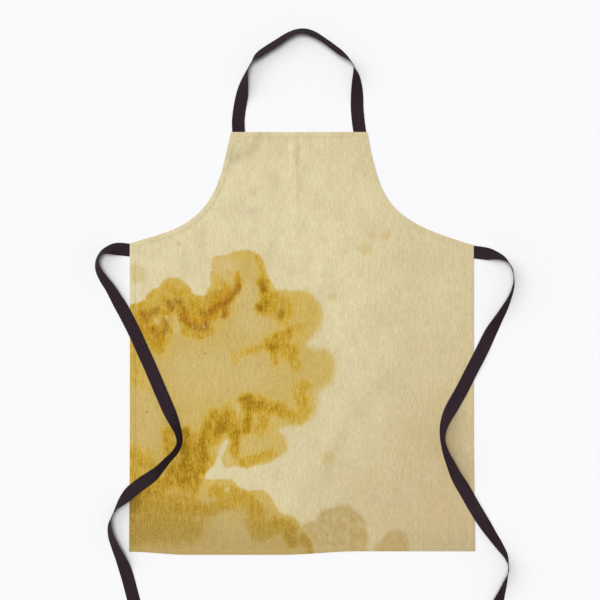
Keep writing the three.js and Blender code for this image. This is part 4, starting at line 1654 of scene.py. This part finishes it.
@dataclass(frozen=True)
class TapePath:
    """A traced route: place, tilt in radians, and the distance run in plan, at close steps."""

    place: np.ndarray
    tilt: np.ndarray
    run: np.ndarray

    @staticmethod
    def trace(route: np.ndarray, per_point: int = 40) -> "TapePath":
        """Traces a smooth curve through listed points.

        Between two points it is the cubic whose slope at each point is half the step between that
        point's neighbours; past each end the neighbour is the reflection of the inner one.

        Args:
            route: x and y in metres and tilt in degrees, n by 3.
            per_point: Samples between two points.

        Returns:
            The traced path, which also runs on straight past its far end.
        """
        points = np.concatenate((2 * route[:1] - route[1:2], route, 2 * route[-1:] - route[-2:-1]))
        t = np.linspace(0, 1, per_point, endpoint=False)[None, :, None]
        p0, p1, p2, p3 = (points[i : len(points) - 3 + i, None] for i in range(4))
        m1, m2 = (p2 - p0) / 2, (p3 - p1) / 2
        curve = (
            (2 * t**3 - 3 * t**2 + 1) * p1
            + (t**3 - 2 * t**2 + t) * m1
            + (3 * t**2 - 2 * t**3) * p2
            + (t**3 - t**2) * m2
        ).reshape(-1, 3)
        curve = np.concatenate((curve, route[-1:]))
        ahead = (curve[-1, :2] - curve[-2, :2]) / np.linalg.norm(curve[-1, :2] - curve[-2, :2])
        beyond = np.append(curve[-1, :2] + ahead * 0.3, curve[-1, 2])
        curve = np.concatenate((curve, beyond[None]))
        return TapePath(curve[:, :2], np.radians(curve[:, 2]), run_along(curve))

    def length(self) -> float:
        """Length of the route itself, in plan."""
        return float(self.run[-2])

    def at(self, distance: np.ndarray) -> tuple[np.ndarray, np.ndarray, np.ndarray]:
        """Place, tilt and direction at distances along the path, which runs straight past its start.

        Args:
            distance: Distances from the path's start.

        Returns:
            The places, tilts and directions, one for each distance.
        """
        before = np.minimum(distance, 0)[:, None]
        place = along_line(distance, self.run, self.place)
        step = 1.5 * MM
        along = along_line(distance + step, self.run, self.place)
        along = along - along_line(distance - step, self.run, self.place)
        first = (self.place[1] - self.place[0]) / np.linalg.norm(self.place[1] - self.place[0])
        along = np.where(distance[:, None] <= step, first, along)
        along /= np.linalg.norm(along, axis=1, keepdims=True)
        return place + before * first, np.interp(distance, self.run, self.tilt), along


def tie_rest(place: np.ndarray, distance: np.ndarray) -> np.ndarray:
    """Height that a tie rests at: the table, or the front of the panel once it has come back in."""
    beyond = np.maximum(abs(place[:, 0]) - SIDE_X, BOTTOM_Y - place[:, 1]) - TAPE_WIDTH / 2
    return np.where(distance < ROOT_RUN, 0.0, ON_PANEL_Z * (1 - smooth(beyond, 0, RAMP)))


@dataclass
class Tape:
    """A length of woven tape carried along a path.

    Attributes:
        path: The way that it lies.
        step: Distance between its sections.
        width: Its width.
    """

    path: TapePath
    step: float = 2.5 * MM
    width: float = TAPE_WIDTH

    def profile(self, low: float, high: float) -> np.ndarray:
        """Section between two heights: two slightly ribbed faces and firm, rounded edges.

        Args:
            low: Height of the lower face.
            high: Height of the upper face.

        Returns:
            Across and height of each corner, n by 2, anticlockwise.
        """
        half, middle, thick = self.width / 2, (low + high) / 2, (high - low) / 2
        across = np.linspace(-1, 1, 11)
        bulge = 0.86 + 0.14 * abs(across) ** 3 * (1 - abs(across) ** 12)
        bulge[[0, -1]] = 0.45
        under = np.stack((across * half, middle - thick * bulge), axis=-1)
        over = np.stack((across[::-1] * half, middle + thick * bulge[::-1]), axis=-1)
        return np.concatenate((under, over))

    def surface(
        self, start: float, end: float, rest: Any = None, low: float = 0.0, high: float = TAPE_THICKNESS
    ) -> Surface:
        """Carries the section along the path.

        At each place the section leans by the tilt, with one of its edges kept at the resting
        height: foot + across * aside + face * height, where across is left cos + up sin and face is
        up cos - left sin.

        Args:
            start: Distance along the path where it starts; below 0 it runs back straight.
            end: Distance where it ends.
            rest: Gives the resting height for places and distances; the table by default.
            low: Height of its lower face over the rest.
            high: Height of its upper face.

        Returns:
            Points, quads and cloth coordinates.
        """
        distance = np.linspace(start, end, max(3, int(round((end - start) / self.step)) + 1))
        place, tilt, along = self.path.at(distance)
        resting = np.zeros(len(distance)) if rest is None else rest(place, distance)
        left = np.stack((-along[:, 1], along[:, 0], np.zeros(len(distance))), axis=-1)
        up = np.array((0.0, 0.0, 1.0))
        cos, sin = np.cos(tilt)[:, None], np.sin(tilt)[:, None]
        across, face = left * cos + up * sin, up * cos - left * sin
        foot = np.column_stack((place, resting + self.width / 2 * abs(sin[:, 0])))
        section = self.profile(low, high)
        points = (
            foot[:, None] + across[:, None] * section[None, :, :1] + face[:, None] * section[None, :, 1:]
        ).reshape(-1, 3)
        uv = np.stack(
            (
                np.broadcast_to(section[:, 0], (len(distance), len(section))),
                np.broadcast_to(distance[:, None], (len(distance), len(section))),
            ),
            axis=-1,
        )
        return points, tube_quads(len(distance), len(section)), uv.reshape(-1, 2)


@dataclass
class NeckStrap:
    """The loop that goes round the neck, with its ends sewn behind the corners of the bib."""

    finish: bpy.types.Material

    def build(self) -> bpy.types.Object:
        """Makes the strap as one tape, which turns smoothly from the bib to the swinging loop."""
        route = np.array(NECK_ROUTE, float)
        scale = np.column_stack((route[:, 0] * STRAP_X, STRAP_START_Y + route[:, 1] * MM, route[:, 2]))
        path = TapePath.trace(scale)
        back = STRAP_START_Y - (TOP_Y - SEWN_LENGTH)
        tape = Tape(path)
        points, faces, uv = tape.surface(-back, path.length() + back)
        piece = make_piece("neck_strap", points, faces, self.finish, uv)
        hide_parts("neck_strap_loop", "left_neck_strap_end", "right_neck_strap_end")
        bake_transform(piece)
        path.length() + 2 * back
        return piece


@dataclass
class Tie:
    """One of the two ties, with its root sewn behind the skirt and its far end turned back.

    Attributes:
        side: Which side it is on.
        route: The way that it lies.
        finish: Its material.
        thread: The material of the stitches across its turned end.
        stitches: Makes them.
    """

    side: Side
    route: tuple
    finish: bpy.types.Material
    thread: bpy.types.Material
    stitches: Hems

    def path(self) -> TapePath:
        """The traced route in the apron's frame."""
        route = np.array(self.route, float)
        x = self.side.value * (TIE_START_X + route[:, 0] * MM)
        return TapePath.trace(np.column_stack((x, TIE_Y + route[:, 1] * MM, route[:, 2])))

    def root_run(self, path: TapePath) -> float:
        """Distance along the tie where its root has turned all the way to its free part.

        Args:
            path: The way that the tie lies.

        Returns:
            The distance.
        """
        distance = np.linspace(0, 60 * MM, 600)
        out = abs(path.at(distance)[0][:, 0]) - TIE_START_X
        return float(distance[np.argmax(out >= BLEND_RUN)])

    def end_seam(self, path: TapePath) -> Surface:
        """Two rows of stitches across the turned end, on the tape's upper face.

        Args:
            path: The way that the tie lies.

        Returns:
            The stitches' surface.
        """
        parts = []
        for inset in (7.2 * MM, 3.0 * MM):
            place, _, along = path.at(np.array((TIE_FREE_LENGTH - inset,)))
            rest = tie_rest(place, np.array((TIE_FREE_LENGTH,)))[0]
            left = np.array((-along[0, 1], along[0, 0]))
            aside = np.linspace(-0.44, 0.44, 8) * TAPE_WIDTH
            spots = place[0] + aside[:, None] * left
            middle = np.column_stack((spots, np.full(len(aside), rest + 1.86 * TAPE_THICKNESS)))
            parts.append(
                self.stitches.stitch_parts(middle, np.tile(left, (len(aside), 1)), 2.6 * MM, 0.12 * MM, 1.0)
            )
        return merge(parts)

    def build(self) -> list[bpy.types.Object]:
        """Makes the root, the free part, the turned end and its stitches."""
        word = self.side.name.lower()
        body = f"{word}_tie"
        path = self.path()
        tape = Tape(path)
        back = TIE_START_X - (SIDE_X - SEWN_LENGTH)
        cut = self.root_run(path)
        root = make_piece(f"{word}_tie_root", *self.ordered(tape.surface(-back, cut)))
        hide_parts(f"{word}_tie_sewn_end")
        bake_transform(root)
        free = make_piece(f"{word}_tie_run", *self.ordered(tape.surface(cut, TIE_FREE_LENGTH, tie_rest)))
        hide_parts(body)
        turned = tape.surface(
            TIE_FREE_LENGTH - TURNED_END,
            TIE_FREE_LENGTH - 0.4 * MM,
            tie_rest,
            TAPE_THICKNESS * 0.9,
            TAPE_THICKNESS * 1.9,
        )
        fold = make_piece(f"{word}_tie_turned_fold", *self.ordered(turned))
        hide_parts(f"{word}_tie_turned_end")
        points, faces, uv = self.end_seam(path)
        seam = make_piece(f"{word}_tie_end_seam", points, faces, self.thread, uv)
        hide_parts(f"{word}_tie_end_stitching")
        for piece in (free, fold, seam):
            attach(piece, body)
        return [root, free, fold, seam]

    def ordered(self, surface: Surface) -> tuple:
        """A surface with this tie's finish, in the order that make_piece takes."""
        points, faces, uv = surface
        return points, faces, self.finish, uv


# ---- The studio ----

@dataclass
class Studio:
    """A pale table, soft overhead light, and a camera that looks straight down on the apron.

    Attributes:
        centre: The middle of the view on the table.
        view_width: How much of the table the view takes in.
        lens: Focal length in millimetres, for a 36 mm sensor.
        table: Side of the table top.
    """

    centre: tuple[float, float] = (-3.6 * MM, 500 * MM)
    view_width: float = 1.197
    lens: float = 85.0
    table: float = 14.0

    def floor(self) -> bpy.types.Object:
        """A level square with a faint, even grain, just under the apron."""
        half = self.table / 2
        corners = np.array(((-half, -half), (half, -half), (half, half), (-half, half)))
        points = np.column_stack((corners + self.centre, np.full(4, -0.3 * MM)))
        shader = Shader("table_top")
        where = shader.node("ShaderNodeTexCoord", {}, {}, "Object")
        grain = shader.noise(shader.stretched(where, 0.4, 0.4), detail=2.0)
        colour = shader.mix(grain, linear("f4f4f6"), linear("f6f6f8"))
        material = shader.finish(Base_Color=colour, Roughness=0.9, Specular_IOR_Level=0.0)
        floor = make_piece("floor", points, np.array(((0, 1, 2, 3),)), material, laid=False)
        return floor

    def light(self, name: str, towards: tuple[float, float, float], spread: float, strength: float) -> None:
        """Adds one wide, soft light that comes evenly from a direction.

        Args:
            name: The light's name.
            towards: The direction in which the light lies, seen from the table.
            spread: How wide it looks, in degrees.
            strength: How strong it is.
        """
        lamp = bpy.data.lights.new(name, "SUN")
        lamp.angle = np.radians(spread)
        lamp.energy = strength
        item = bpy.data.objects.new(name, lamp)
        item.rotation_euler = Vector(towards).to_track_quat("Z", "Y").to_euler()
        item.location = Vector(towards).normalized() * 4
        bpy.context.scene.collection.objects.link(item)

    def camera(self) -> None:
        """Adds the camera, at the height that gives the view its width."""
        data = bpy.data.cameras.new("camera")
        data.lens = self.lens
        data.sensor_width = 36.0
        data.clip_end = 50.0
        item = bpy.data.objects.new("camera", data)
        item.location = (*self.centre, self.view_width * self.lens / data.sensor_width)
        bpy.context.scene.collection.objects.link(item)
        bpy.context.scene.camera = item

    def build(self) -> None:
        """Sets the table, the lights, the pale surroundings and the camera."""
        self.floor()
        self.light("overhead_light", (-0.1, 0.1, 1.0), 26.0, 1.8)
        self.light("raking_light", (-0.9, 0.42, 0.85), 50.0, 1.0)
        world = bpy.data.worlds.new("pale_room")
        world.use_nodes = True
        background = world.node_tree.nodes["Background"]
        background.inputs["Color"].default_value = (1.0, 1.0, 1.0, 1.0)
        background.inputs["Strength"].default_value = 0.27
        scene = bpy.context.scene
        scene.world = world
        scene.view_settings.view_transform = "Standard"
        self.camera()


def main() -> None:
    """Builds the apron from its panel outwards, then the studio round it."""
    logging.basicConfig(level=logging.INFO, format="%(message)s")
    Studio().build()
    outline = Outline()
    panel = Panel(outline, Blots())
    canvas = panel.build(CanvasFinish("canvas", stained=True))
    hems = Hems(outline, panel)
    edging = hems.build()
    outline.area()
    tape = TapeFinish().make()
    dark_thread = ThreadFinish("dark_thread", "1f181b", "473a3f").make()
    NeckStrap(tape).build()
    for side, route in ((Side.LEFT, LEFT_TIE_ROUTE), (Side.RIGHT, RIGHT_TIE_ROUTE)):
        Tie(side, route, tape, dark_thread, hems).build()


if __name__ == "__main__":
    main()
